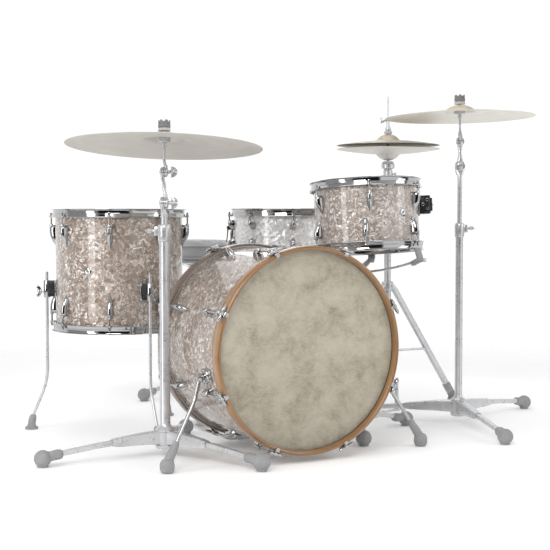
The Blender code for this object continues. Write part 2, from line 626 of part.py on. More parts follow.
def make_kick_pedal(kit):
    pedal = pivot("kick_pedal", kit)
    post_mid_z = (KICK_SHAFT_Z + 0.008) / 2 + 0.001
    posts = [block((0.012, 0.020, KICK_SHAFT_Z + 0.006), (side * 0.042, KICK_Y, post_mid_z))
             for side in (-1, 1)]
    plate = block((0.096, 0.050, 0.006), (0, KICK_Y + 0.004, 0.004))
    rails = [block((0.008, KICK_HEEL_Y - KICK_Y, 0.005), (side * 0.044, (KICK_HEEL_Y + KICK_Y) / 2, 0.0045))
             for side in (-1, 1)]
    heel_plate = block((0.096, 0.070, 0.008), (0, KICK_HEEL_Y + 0.010, 0.0058))
    jaw = block((0.050, 0.018, 0.014), (0, 0.2160, 0.0078))
    frame_parts = [*posts, plate, *rails, heel_plate, jaw]
    part("kick_pedal_frame", fused("frame", frame_parts), "bright_steel", pedal)

    heel = pivot("kick_heel_axis", pedal, (0, KICK_HEEL_Y - 0.020, 0.0165))
    board = bar([((0, 0.0, 0.0), 0.070, 0.006), ((0, -0.205, 0.056), 0.060, 0.006)])
    hinge = moved(drum_of(0.0045, -0.032, 0.032, 10), rotation("Y", 90))
    part("kick_footboard", fused("board", [board, hinge]), "bright_steel", heel)

    shaft_at = pivot("kick_shaft_axis", pedal, (0, KICK_Y, KICK_SHAFT_Z), (KICK_BEATER_REST, 0, 0))
    shaft = moved(drum_of(0.0055, -0.0357, 0.0357, 10), rotation("Y", 90))
    stem = drum_of(0.004, 0, 0.190, 8)
    head = moved(turned([(0, -0.028), (0.016, -0.028), (0.023, -0.020), (0.023, 0.014),
                         (0.016, 0.020), (0, 0.020)]),
                 rotation("X", 90), at(0, 0, 0.190))
    part("kick_beater", fused("beater", [shaft, stem, head]), "felt", shaft_at)


def centre_on_floor(kit):
    """Move the whole kit so that its box is centred over the origin."""
    bpy.context.view_layer.update()
    corners = [obj.matrix_world @ Vector(corner) for obj in bpy.context.scene.objects if obj.type == "MESH"
               for corner in obj.bound_box]
    for axis in (0, 1):
        values = [corner[axis] for corner in corners]
        kit.location[axis] = -(min(values) + max(values)) / 2
    bpy.context.view_layer.update()


def main():
    clear_scene()
    kit = pivot("kit", None)
    make_bass_drum(kit)
    make_floor_tom(kit)
    make_rack_tom(kit)
    make_snare(kit)
    make_hihat(kit)
    for spec in (RIDE_STAND, CRASH_STAND):
        make_cymbal_stand(spec, kit)
    make_throne(kit)
    make_kick_pedal(kit)
    centre_on_floor(kit)


main()
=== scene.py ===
import json
import math

import bmesh
import bpy
from mathutils import Matrix, Vector


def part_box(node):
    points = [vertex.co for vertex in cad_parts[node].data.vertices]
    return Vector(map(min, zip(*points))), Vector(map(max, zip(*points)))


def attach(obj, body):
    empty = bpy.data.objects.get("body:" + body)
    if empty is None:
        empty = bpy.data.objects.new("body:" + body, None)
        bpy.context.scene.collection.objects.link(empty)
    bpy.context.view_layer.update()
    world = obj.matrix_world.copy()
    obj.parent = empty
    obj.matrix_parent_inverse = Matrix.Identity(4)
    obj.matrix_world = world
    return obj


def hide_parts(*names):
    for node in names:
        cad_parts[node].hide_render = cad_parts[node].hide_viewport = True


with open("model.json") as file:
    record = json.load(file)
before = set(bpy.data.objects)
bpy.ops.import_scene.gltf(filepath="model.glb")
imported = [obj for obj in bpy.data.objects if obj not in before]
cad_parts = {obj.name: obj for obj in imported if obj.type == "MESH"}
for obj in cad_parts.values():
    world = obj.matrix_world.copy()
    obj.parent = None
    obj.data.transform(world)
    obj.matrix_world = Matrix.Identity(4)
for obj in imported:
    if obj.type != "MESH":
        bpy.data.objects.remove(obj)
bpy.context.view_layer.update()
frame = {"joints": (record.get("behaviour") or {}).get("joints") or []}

JOINTS = {joint["name"]: joint for joint in frame["joints"]}

VIEW_TURN = -28.6      # the stands' ratchets face this way round Z
SHELL_WALL = 0.008
HOOP_RISE = 0.0145     # a metal hoop stands this far above its shell's edge
HOOP_DEPTH = 0.0265
ROD_OUT = 0.0168       # tension rods' distance outside a tom's shell
BASS = dict(r=0.2794, depth=0.3556, hoop_r=0.2915, hoop_width=0.038, overall=0.406, rod_r=0.2995)
BELL = 0.021           # height of the ride's and crash's bells
RATCHET_R = 0.0172     # cymbal stands' ratchets
BASKET_RATCHET_R = 0.0162
TILTER_R = 0.0142
CHEEK = 0.0115         # thickness of one half of a ratchet
SMALL_CHEEK = 0.0105   # the same of a tilter
SHARP_ANGLE = 38
FADE_START, FADE_END, FLOOR_GLOW = 1.3, 2.9, 0.1
EYE = (-1.7105, -3.1252, 0.6785)   # the camera, from the bass drum's centre; Z from the floor
EYE_DROP, EYE_TURN, LENS = 2.66, -28.59, 80.5
WORLD_STRENGTH = 1.06


# ---- Shapes: each is a pair of points and faces ----------------------------------------

def at(x, y, z):
    return Matrix.Translation((x, y, z))


def turn(axis, degrees):
    return Matrix.Rotation(math.radians(degrees), 4, axis)


def polar(degrees, radius, z=0.0):
    angle = math.radians(degrees)
    return Vector((radius * math.cos(angle), radius * math.sin(angle), z))


def aimed(origin, z_axis, x_axis):
    """Matrix whose Z and X axes point along the two directions."""
    z_axis = Vector(z_axis).normalized()
    x_axis = Vector(x_axis)
    x_axis = (x_axis - z_axis * x_axis.dot(z_axis)).normalized()
    y_axis = z_axis.cross(x_axis)
    matrix = Matrix((x_axis, y_axis, z_axis)).transposed().to_4x4()
    matrix.translation = origin
    return matrix


def moved(shape, *matrices):
    points, faces = shape
    for matrix in matrices:
        points = [matrix @ Vector(point) for point in points]
    return points, faces


def joined(*shapes):
    points, faces = [], []
    for some_points, some_faces in shapes:
        base = len(points)
        points += [Vector(point) for point in some_points]
        faces += [tuple(base + index for index in face) for face in some_faces]
    return points, faces


def mirrored(shape):
    return moved(shape, Matrix.Diagonal((1, 1, -1, 1)))


def between(start, end, *shares):
    return [start.lerp(end, share) for share in shares]


def crosswise(degrees):
    """Level direction across a leg that points along the angle."""
    angle = math.radians(degrees)
    return Vector((-math.sin(angle), math.cos(angle), 0))


def around(shape, angles):
    return joined(*[moved(shape, turn("Z", angle)) for angle in angles])


def lathe(outline, steps=48, wave=0.0, lobes=0):
    """Closed solid turned about Z; an outline off the axis closes on itself."""
    points, rows = [], []
    for radius, height in outline:
        if radius < 1e-6:
            rows.append([len(points)] * steps)
            points.append(Vector((0, 0, height)))
            continue
        rows.append(list(range(len(points), len(points) + steps)))
        for k in range(steps):
            angle = 2 * math.pi * k / steps
            reach = radius * (1 + wave * math.cos(lobes * angle))
            points.append(Vector((reach * math.cos(angle), reach * math.sin(angle), height)))
    pairs = list(zip(rows, rows[1:]))
    if outline[0][0] > 1e-6:
        pairs.append((rows[-1], rows[0]))
    faces = []
    for low, high in pairs:
        for k in range(steps):
            n = (k + 1) % steps
            face = tuple(dict.fromkeys((low[k], low[n], high[n], high[k])))
            if len(face) > 2:
                faces.append(face)
    return points, faces


def mm(*pairs, r=0.0, z=0.0):
    """Outline in millimetres, from a radius and a height in metres."""
    return [(r + a / 1000, z + b / 1000) for a, b in pairs]


def round_bar(radius, low, high, steps):
    return lathe([(0, low), (radius, low), (radius, high), (0, high)], steps)


def loft(rings):
    count = len(rings[0])
    points = [Vector(point) for ring in rings for point in ring]
    faces = []
    for a, b in zip(range(len(rings)), range(1, len(rings))):
        for k in range(count):
            n = (k + 1) % count
            faces.append((a * count + k, a * count + n, b * count + n, b * count + k))
    faces.append(tuple(range(count)))
    faces.append(tuple(range((len(rings) - 1) * count, len(rings) * count)))
    return points, faces


def blade(path, across, widths, thicks, boxy=0.35, sides=16):
    """Bar along a path: its width lies along `across`, and `boxy` 1 gives an ellipse."""
    path = [Vector(point) for point in path]
    widths = widths if isinstance(widths, (list, tuple)) else [widths] * len(path)
    thicks = thicks if isinstance(thicks, (list, tuple)) else [thicks] * len(path)
    rings = []
    for k, point in enumerate(path):
        before = (point - path[max(k - 1, 0)]).normalized()
        after = (path[min(k + 1, len(path) - 1)] - point).normalized()
        along = (before + after).normalized()
        side = Vector(across)
        side = (side - along * side.dot(along)).normalized()
        up = along.cross(side)
        ring = []
        for s in range(sides):
            c, q = math.cos(2 * math.pi * (s + 0.5) / sides), math.sin(2 * math.pi * (s + 0.5) / sides)
            c, q = math.copysign(abs(c) ** boxy, c), math.copysign(abs(q) ** boxy, q)
            ring.append(point + side * c * widths[k] / 2 + up * q * thicks[k] / 2)
        rings.append(ring)
    return loft(rings)


def tube(path, radius, sides=14):
    """Round bar along a path, with one radius or a list of them."""
    run = Vector(path[-1]) - Vector(path[0])
    across = run.orthogonal()
    sizes = [r * 2 for r in radius] if isinstance(radius, (list, tuple)) else radius * 2
    return blade(path, across, sizes, sizes, boxy=1, sides=sides)


def eased(points, radius, steps=5):
    """Path with its inner corners rounded."""
    points = [Vector(point) for point in points]
    path = [points[0]]
    for before, corner, after in zip(points, points[1:], points[2:]):
        start = corner + (before - corner).normalized() * min(radius, (before - corner).length * 0.45)
        end = corner + (after - corner).normalized() * min(radius, (after - corner).length * 0.45)
        for k in range(steps + 1):
            t = k / steps
            path.append(start.lerp(corner, t).lerp(corner.lerp(end, t), t))
    path.append(points[-1])
    return path


def slab(width, depth, height, corner=0.003, edge=0.0012, arc=3):
    """Box centred on the origin with rounded upright corners and softened rims."""
    def ring(inset, z):
        points = []
        for quarter in range(4):
            signs = ((1, 1), (-1, 1), (-1, -1), (1, -1))[quarter]
            round_r = max(corner - inset, 0.0002)
            centre = (signs[0] * (width / 2 - inset - round_r), signs[1] * (depth / 2 - inset - round_r))
            for k in range(arc + 1):
                angle = math.radians(90 * quarter + 90 * k / arc)
                points.append((centre[0] + round_r * math.cos(angle), centre[1] + round_r * math.sin(angle),
                    z))
        return points
    h = height / 2
    levels = [(edge, -h), (edge * 0.3, -h + edge * 0.3), (0, -h + edge), (0, h - edge),
        (edge * 0.3, h - edge * 0.3), (edge, h)]
    return loft([ring(inset, z) for inset, z in levels])


def channel(sections, wall=0.0018):
    """Folded sheet channel, open below, through (centre, width, height) sections."""
    centres = [Vector(centre) for centre, _, _ in sections]
    run = centres[-1] - centres[0]
    side = Vector((-run.y, run.x, 0)).normalized()
    rings = []
    for centre, (_, width, height) in zip(centres, sections):
        w, h, soft = width / 2, height / 2, min(0.003, width * 0.2)
        outline = [(-w, -h), (-w, h - soft), (-w + soft * 0.3, h - soft * 0.3), (-w + soft, h),
            (w - soft, h), (w - soft * 0.3, h - soft * 0.3), (w, h - soft), (w, -h), (w - wall, -h),
            (w - wall, h - soft - wall), (w - soft - wall, h - wall), (-w + soft + wall, h - wall),
            (-w + wall, h - soft - wall), (-w + wall, -h)]
        rings.append([centre + side * a + Vector((0, 0, b)) for a, b in outline])
    return loft(rings)


def dome(radius, height, steps=20, rows=5):
    """Domed button standing on z = 0."""
    outline = [(0, -0.001), (radius, -0.001)]
    outline += [(radius * math.cos(a), height * math.sin(a))
        for a in (math.pi / 2 * k / rows for k in range(rows))]
    return lathe(outline + [(0, height)], steps)


def coil(radius, wire, low, high, turns, sides=8):
    count = int(turns * 16)
    path = [Vector((radius * math.cos(k * math.pi / 8), radius * math.sin(k * math.pi / 8),
        low + (high - low) * k / count)) for k in range(count + 1)]
    return blade(path, (0, 0, 1), wire * 2, wire * 2, boxy=1, sides=sides)


def wing_screw(span=0.042, reach=0.014):
    """Wing screw along +X from the origin: shank, hub and two round wings."""
    parts = [moved(lathe(mm((0, 0), (4.2, 0), (4.2, 8), (6.8, 10), (6.8, 18), (5, 21), (0, 21.5)), 20),
        turn("Y", 90))]
    for side in (-1, 1):
        path = [(0.012, side * 0.003, 0), (0.014, side * span * 0.18, 0), (0.017, side * span * 0.3, 0),
            (0.02, side * span * 0.4, 0), (0.0225, side * span * 0.48, 0), (0.0235, side * span * 0.5, 0)]
        parts.append(blade(path, (1, 0, 0), [0.01, 0.011, reach, reach, 0.009, 0.003],
            [0.005, 0.0038, 0.0034, 0.0034, 0.0028, 0.0015], boxy=0.8, sides=14))
    return joined(*parts)


def lug(length, width, height):
    """Streamlined lug: round end at z = 0, point at z = -length, standing out along +X."""
    rings = []
    for k in range(21):
        t = k / 20
        nose = math.sqrt(max(0.0, 1 - (1 - min(t / 0.13, 1)) ** 2))
        tail = 1 - max(0.0, (t - 0.3) / 0.7) ** 3.2
        half = width / 2 * max(nose * tail, 0.1)
        lift = height * max((0.35 + 0.65 * nose) * (1 - max(0.0, (t - 0.25) / 0.75) ** 2.0), 0.06)
        ring = [(-0.003, -half, -length * t)]
        ring += [(lift * math.sin(a) ** 0.7, -half * math.cos(a), -length * t)
            for a in (math.pi * (s + 0.5) / 14 for s in range(14))]
        ring.append((-0.003, half, -length * t))
        rings.append(ring)
    return loft(rings)


# ---- Materials ----------------------------------------

def node(tree, kind, settings=None, **inputs):
    made = tree.nodes.new("ShaderNode" + kind)
    for key, value in (settings or {}).items():
        setattr(made, key, value)
    for key, value in inputs.items():
        numbered = key[0] == "i" and key[1:].isdigit()
        socket = made.inputs[int(key[1:]) if numbered else key.replace("_", " ")]
        if isinstance(value, bpy.types.NodeSocket):
            tree.links.new(value, socket)
        else:
            socket.default_value = value
    return made


def place_in(tree, matrix=None):
    """Coordinates in the object's frame, or in the frame of a drum or cymbal."""
    coords = node(tree, "TexCoord").outputs["Object"]
    if matrix is None:
        return coords
    back = matrix.inverted()
    return node(tree, "Mapping", Vector=coords, Location=back.translation[:],
        Rotation=back.to_euler()[:]).outputs[0]


def math_of(tree, operation, a, b=0.0):
    return node(tree, "Math", {"operation": operation}, i0=a, i1=b).outputs[0]


def times(tree, a, b):
    return math_of(tree, "MULTIPLY", a, b)


def plus(tree, a, b):
    return math_of(tree, "ADD", a, b)


def part_of(tree, vector, index):
    return node(tree, "SeparateXYZ", Vector=vector).outputs[index]


def vector_of(tree, x, y, z):
    return node(tree, "CombineXYZ", X=x, Y=y, Z=z).outputs[0]


def blended(tree, factor, a, b):
    return node(tree, "Mix", {"data_type": "RGBA"}, i0=factor, i6=a, i7=b).outputs[2]


def dimmed(tree, colour, share):
    return node(tree, "Mix", {"data_type": "RGBA", "blend_type": "MULTIPLY"}, i0=1.0, i6=colour,
        i7=vector_of(tree, share, share, share)).outputs[2]


def cylinder_of(tree, matrix):
    """Radius, angle and height round the frame's Z axis."""
    apart = node(tree, "SeparateXYZ", Vector=place_in(tree, matrix)).outputs
    radius = math_of(tree, "SQRT", plus(tree, times(tree, apart[0], apart[0]),
        times(tree, apart[1], apart[1])))
    return radius, math_of(tree, "ARCTAN2", apart[1], apart[0]), apart[2]


def noise(tree, where, scale, detail=4.0, roughness=0.55, distortion=0.0):
    return node(tree, "TexNoise", Vector=where, Scale=scale, Detail=detail, Roughness=roughness,
        Distortion=distortion).outputs["Fac"]


def ramp(tree, factor, *stops):
    """Colour ramp through (position, colour) stops."""
    made = node(tree, "ValToRGB", Fac=factor)
    band = made.color_ramp
    while len(band.elements) < len(stops):
        band.elements.new(0.5)
    for element, (position, colour) in zip(band.elements, stops):
        element.position = position
        element.color = (*colour, 1) if isinstance(colour, tuple) else (colour, colour, colour, 1)
    return made.outputs["Color"]


def spread(tree, factor, low, high, to_low, to_high):
    return node(tree, "MapRange", i0=factor, i1=low, i2=high, i3=to_low, i4=to_high).outputs[0]


def bumped(tree, height, strength, distance, normal=None):
    extra = {} if normal is None else {"Normal": normal}
    return node(tree, "Bump", Height=height, Strength=strength, Distance=distance, **extra).outputs[0]


def material(name, make, *args):
    made = bpy.data.materials.new(name)
    made.use_nodes = True
    tree = made.node_tree
    shader = tree.nodes["Principled BSDF"]
    for socket, value in make(tree, *args).items():
        if isinstance(value, bpy.types.NodeSocket):
            tree.links.new(value, shader.inputs[socket])
        else:
            shader.inputs[socket].default_value = value
    return made


def pearl(tree, matrix, shift, pale=0.0, size=1.0):
    """Marine pearl wrap: overlapping chips, each with its own lustre, under a clear gloss."""
    where = place_in(tree, matrix)
    warp = node(tree, "TexNoise", Vector=where, Scale=30.0, Detail=2.0).outputs["Color"]
    bent = node(tree, "VectorMath", {"operation": "MULTIPLY_ADD"}, i0=warp, i1=(0.036,) * 3,
        i2=where).outputs[0]
    bent = node(tree, "Mapping", Vector=bent, Location=(shift, shift * 0.7, 0)).outputs[0]
    big = node(tree, "TexVoronoi", Vector=bent, Scale=128.0 / size)
    small = node(tree, "TexVoronoi", Vector=bent, Scale=290.0 / size)
    cloud = noise(tree, where, 11.0, 3.0)
    level = part_of(tree, big.outputs["Color"], 0)
    fine = part_of(tree, small.outputs["Color"], 1)
    mixed = plus(tree, times(tree, level, 0.55), times(tree, fine, 0.4))
    mixed = plus(tree, mixed, times(tree, math_of(tree, "SUBTRACT", cloud, 0.5), 0.45))
    tint = [(0.0, (0.24, 0.185, 0.145)), (0.34, (0.32, 0.25, 0.205)), (0.56, (0.42, 0.345, 0.295)),
        (0.69, (0.6, 0.53, 0.475)), (0.86, (0.94, 0.91, 0.88))]
    tint = [(p, tuple(c + (0.88 - c) * pale for c in colour)) for p, colour in tint]
    lean = node(tree, "VectorMath", {"operation": "SUBTRACT"}, i0=big.outputs["Color"],
        i1=(0.5,) * 3).outputs[0]
    face = node(tree, "NewGeometry").outputs["Normal"]
    tipped = node(tree, "VectorMath", {"operation": "MULTIPLY_ADD"}, i0=lean, i1=(0.7,) * 3,
        i2=face).outputs[0]
    facing = node(tree, "VectorMath", {"operation": "NORMALIZE"}, i0=tipped).outputs[0]
    return {"Base Color": ramp(tree, mixed, *tint), "Metallic": 0.42, "Normal": facing,
        "Roughness": spread(tree, fine, 0.0, 1.0, 0.28, 0.5), "Coat Weight": 1.0, "Coat Roughness": 0.05}


def chrome(tree, tone=0.46, rough=0.04):
    where = place_in(tree)
    smear = noise(tree, where, 22.0, 5.0)
    colour = ramp(tree, noise(tree, where, 60.0, 3.0), (0.35, (tone * 0.95, tone * 0.955, tone * 0.965)),
        (0.65, (tone, tone, tone * 1.005)))
    return {"Base Color": colour, "Metallic": 1.0,
        "Roughness": spread(tree, smear, 0.3, 0.7, rough, rough + 0.06),
        "Normal": bumped(tree, noise(tree, where, 14.0, 2.0), 0.1, 0.0006)}


def steel(tree):
    """Pale satin chrome of the stands, with faint drawing lines along Z."""
    where = place_in(tree)
    lines = node(tree, "Mapping", Vector=where, Scale=(170.0, 170.0, 4.0)).outputs[0]
    smear = noise(tree, where, 30.0, 5.0)
    colour = ramp(tree, smear, (0.3, (0.57, 0.575, 0.585)), (0.7, (0.65, 0.655, 0.665)))
    return {"Base Color": colour, "Metallic": 0.62,
        "Roughness": spread(tree, smear, 0.25, 0.75, 0.24, 0.34),
        "Normal": bumped(tree, noise(tree, lines, 1.0, 2.0), 0.02, 0.0002)}


def fibre_head(tree, matrix):
    """Fibrous olive-cream head: felted strands and clouds."""
    where = place_in(tree, matrix)
    cloud = noise(tree, where, 15.0, 10.0, 0.7, 0.25)
    strands = []
    for k, angle in enumerate((20, 75, 135)):
        laid = node(tree, "Mapping", Vector=where, Rotation=(0, 0, math.radians(angle)),
            Scale=(95.0, 330.0, 60.0), Location=(k * 3.1, k, 0)).outputs[0]
        strands.append(noise(tree, laid, 1.0, 3.0, 0.6, 0.5))
    felted = times(tree, plus(tree, plus(tree, strands[0], strands[1]), strands[2]), 0.333)
    level = plus(tree, times(tree, cloud, 0.72), times(tree, felted, 0.38))
    colour = ramp(tree, level, (0.4, (0.275, 0.244, 0.178)), (0.49, (0.385, 0.346, 0.26)),
        (0.57, (0.467, 0.425, 0.333)), (0.7, (0.55, 0.505, 0.407)))
    # the head's colour is dimmed towards its lower part, to 0.8 of its tone near the floor
    height = part_of(tree, place_in(tree), 2)
    dimmed_towards_floor = spread(tree, height, 0.03, 0.36, 0.8, 1.0)
    colour = dimmed(tree, colour, dimmed_towards_floor)
    return {"Base Color": colour, "Roughness": spread(tree, felted, 0.3, 0.7, 0.42, 0.62),
        "Normal": bumped(tree, felted, 0.25, 0.0006), "Sheen Weight": 0.15}


def coated_head(tree, matrix):
    where = place_in(tree, matrix)
    grit = noise(tree, where, 900.0, 3.0, 0.7)
    wear_and_painted_shade = noise(tree, where, 10.0, 5.0)
    colour = ramp(tree, wear_and_painted_shade, (0.3, (0.62, 0.615, 0.6)), (0.7, (0.72, 0.72, 0.71)))
    return {"Base Color": colour, "Roughness": spread(tree, wear_and_painted_shade, 0.3, 0.7, 0.48, 0.68),
        "Normal": bumped(tree, grit, 0.35, 0.0003)}


def wood(tree, matrix, rebate, dark, light):
    """Lacquered hoop: the grain runs round the ring, and the inner wall of the rebate next to the head is
    painted near black as painted shade of the gap.
    """
    radius, angle, height = cylinder_of(tree, matrix)
    laid = vector_of(tree, times(tree, angle, 1.6), times(tree, radius, 420.0), times(tree, height, 190.0))
    grain = noise(tree, laid, 1.0, 8.0, 0.6, 0.35)
    broad = noise(tree, vector_of(tree, angle, times(tree, radius, 40.0), times(tree, height, 22.0)), 1.2,
        3.0)
    level = plus(tree, times(tree, grain, 0.6), times(tree, broad, 0.4))
    middle = tuple((a + b) / 2 for a, b in zip(dark, light))
    colour = ramp(tree, level, (0.34, dark), (0.5, middle), (0.66, light))
    # painted shade: inside the rebate, next to the head, the colour is dimmed to 0.03, a painted dark line
    # that stands for the shadow in the gap between hoop and head
    edge = spread(tree, math_of(tree, "ABSOLUTE", height), rebate + 0.002, rebate + 0.005, 0.03, 1.0)
    edge = math_of(tree, "MAXIMUM", edge, spread(tree, radius, 0.2825, 0.2835, 0.0, 1.0))
    return {"Base Color": dimmed(tree, colour, edge), "Roughness": spread(tree, grain, 0.3, 0.7, 0.3, 0.46),
        "Normal": bumped(tree, grain, 0.12, 0.0003), "Coat Weight": 0.7, "Coat Roughness": 0.06}


def rubber(tree, tone=0.315):
    where = place_in(tree)
    mottle = noise(tree, where, 45.0, 5.0)
    grain = noise(tree, where, 1400.0, 2.0)
    colour = ramp(tree, mottle, (0.3, (tone * 0.86, tone * 0.86, tone * 0.87)),
        (0.7, (tone * 1.08, tone * 1.08, tone * 1.09)))
    return {"Base Color": colour, "Roughness": spread(tree, mottle, 0.3, 0.7, 0.62, 0.82),
        "Normal": bumped(tree, grain, 0.25, 0.0004)}


def bronze(tree, matrix, tone):
    """Cast cymbal: lathe grooves, soft hammer marks, and an upper side painted darker and yellower as
    painted shade.
    """
    radius, angle, _ = cylinder_of(tree, matrix)
    grooves = noise(tree, vector_of(tree, times(tree, radius, 620.0), 0.0, 0.0), 1.0, 4.0, 0.7)
    dents = node(tree, "TexVoronoi", {"feature": "SMOOTH_F1"}, Vector=place_in(tree, matrix),
        Scale=44.0).outputs["Distance"]
    sweep = noise(tree, vector_of(tree, times(tree, radius, 14.0), angle, 0.0), 1.4, 3.0)
    level = plus(tree, times(tree, grooves, 0.45), times(tree, sweep, 0.55))
    under = ramp(tree, level, (0.32, tuple(c * 0.84 for c in tone)), (0.68, tone))
    # painted shade: the upper side gets a darker, yellower copy of the tone, blended in by which way the
    # surface faces, so the top reads darker under the light from above
    wear_and_painted_shade = tuple(c * share for c, share in zip(tone, (0.7, 0.645, 0.55)))
    upper = ramp(tree, level, (0.32, tuple(c * 0.74 for c in wear_and_painted_shade)), (0.68, wear_and_painted_shade))
    rise = part_of(tree, node(tree, "TexCoord").outputs["Normal"], 2)
    colour = blended(tree, spread(tree, rise, -0.1, 0.1, 0.0, 1.0), under, upper)
    lathed = bumped(tree, grooves, 0.35, 0.0006)
    return {"Base Color": colour, "Metallic": 0.5, "Roughness": spread(tree, grooves, 0.3, 0.7, 0.44, 0.58),
        "Normal": bumped(tree, dents, 0.22, 0.0012, lathed)}


def vinyl(tree):
    """Leather-grained seat cover."""
    where = place_in(tree)
    pores = node(tree, "TexVoronoi", {"feature": "DISTANCE_TO_EDGE"}, Vector=where,
        Scale=420.0).outputs["Distance"]
    creases = spread(tree, pores, 0.0, 0.12, 0.0, 1.0)
    wear_and_painted_shade = noise(tree, where, 14.0, 5.0)
    colour = ramp(tree, wear_and_painted_shade, (0.3, (0.24, 0.24, 0.245)), (0.7, (0.33, 0.33, 0.335)))
    return {"Base Color": colour, "Roughness": spread(tree, wear_and_painted_shade, 0.3, 0.7, 0.42, 0.6),
        "Normal": bumped(tree, creases, 0.4, 0.0006), "Sheen Weight": 0.1}


def felt(tree, tone=0.55):
    where = place_in(tree)
    fuzz = noise(tree, where, 260.0, 6.0, 0.7, 1.0)
    colour = ramp(tree, fuzz, (0.3, (tone * 0.8, tone * 0.8, tone * 0.79)),
        (0.7, (tone * 1.1, tone * 1.1, tone * 1.09)))
    return {"Base Color": colour, "Roughness": spread(tree, fuzz, 0.2, 0.8, 0.85, 0.98),
        "Sheen Weight": 0.5, "Normal": bumped(tree, fuzz, 0.6, 0.001)}


def black_metal(tree):
    where = place_in(tree)
    speck = noise(tree, where, 1600.0, 2.0)
    colour = ramp(tree, noise(tree, where, 40.0, 4.0), (0.3, (0.012, 0.012, 0.013)),
        (0.7, (0.035, 0.035, 0.037)))
    return {"Base Color": colour, "Metallic": 0.3, "Roughness": spread(tree, speck, 0.3, 0.7, 0.28, 0.42),
        "Normal": bumped(tree, speck, 0.2, 0.0003)}


def pale_floor(tree):
    """Pale floor that fades out into the white surround."""
    radius, _, _ = cylinder_of(tree, Matrix.Identity(4))
    haze = noise(tree, place_in(tree), 1.2, 3.0)
    near = ramp(tree, haze, (0.3, (0.93, 0.93, 0.93)), (0.7, (0.95, 0.95, 0.95)))
    return {"Base Color": near, "Roughness": spread(tree, haze, 0.3, 0.7, 0.86, 0.94),
        "Specular IOR Level": 0.0, "Emission Color": (1, 1, 1, 1), "Emission Strength": FLOOR_GLOW,
        "Alpha": spread(tree, radius, FADE_START, FADE_END, 1.0, 0.0)}


# Each look is a material and its slot.
CHROME = material("chrome_look", chrome), "chrome"
STEEL = material("steel_look", steel), "bright_steel"
RUBBER = material("rubber_look", rubber), "rubber"
DARK_RUBBER = material("dark_rubber_look", rubber, 0.22), "rubber"
FELT = material("felt_look", felt), "felt"
BLACK = material("black_metal_look", black_metal), "black_metal"
VINYL = material("vinyl_look", vinyl), "vinyl"


# ---- Pieces ----------------------------------------

def object_of(name, shape):
    mesh = bpy.data.meshes.new(name)
    mesh.from_pydata([tuple(point) for point in shape[0]], [], shape[1])
    return linked(name, mesh)


def linked(name, data):
    obj = bpy.data.objects.new(name, data)
    bpy.context.scene.collection.objects.link(obj)
    return obj


def piece(name, body, look, *shapes, stands_for=()):
    look, slot = look
    obj = object_of(name, joined(*shapes))
    mesh = obj.data
    solid = bmesh.new()
    solid.from_mesh(mesh)
    bmesh.ops.recalc_face_normals(solid, faces=solid.faces)
    solid.to_mesh(mesh)
    solid.free()
    mesh.shade_smooth()
    mesh.set_sharp_from_angle(angle=math.radians(SHARP_ANGLE))
    mesh.materials.append(look)
    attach(obj, body)
    if stands_for:
        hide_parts(*stands_for)
    return obj


def placer(matrix, flip):
    """Function that moves a shape into a drum's frame, mirrored for the lower or rear side."""
    return lambda shape: moved(mirrored(shape) if flip else shape, matrix)


def centre_of(node_name):
    low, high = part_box(node_name)
    return (low + high) / 2


def joint_at(name):
    return Vector(JOINTS[name]["pos_m"]), Vector(JOINTS[name]["axis"])


# ---- Drums ----------------------------------------

def shell_shape(radius, depth):
    h, inner = depth / 2, radius - SHELL_WALL
    return lathe([(inner, -h + 0.002), (radius - 0.0055, -h), (radius - 0.001, -h), (radius, -h + 0.001),
        (radius, h - 0.001), (radius - 0.001, h), (radius - 0.0055, h), (inner, h - 0.002)], 128)


def head_shape(radius, edge):
    """Film with its collar and flesh hoop."""
    film = edge + 0.0004
    return lathe([(0, film), (radius * 0.6, film), (radius - 0.005, film), (radius + 0.0009, edge - 0.0004),
        (radius + 0.0009, edge - 0.009), (radius + 0.0052, edge - 0.009), (radius + 0.0054, edge - 0.0015),
        (radius + 0.004, edge + 0.0006), (radius, edge + 0.0012), (radius - 0.006, edge + 0.001),
        (radius * 0.6, edge + 0.0011), (0, edge + 0.0011)], 128)


def metal_hoop_shape(radius, edge):
    """Triple-flanged hoop: rolled rim, wall, step, skirt and ear flange."""
    top = edge + HOOP_RISE
    low = top - HOOP_DEPTH
    r = radius
    return lathe(mm((8.3, 0.6), (9.5, 0), (14.2, 0), (15, 1.1), (14.2, 2.2), (11, 2.8), (10.6, 3.6),
        (10.6, 9.8), (10.1, 10.8), (8.4, 11.7), (8.1, 12.8), r=r, z=low)
        + mm((8.1, -5), (8.7, -3.4), (10.3, -2.6), (12.8, -2.3), (13.8, -1.2), (13, -0.1), (9.5, 0),
        (7.2, -1.4), (6.2, -4), r=r, z=top) + mm((6.2, 11.6), (8.2, 9.8), r=r, z=low), 128)


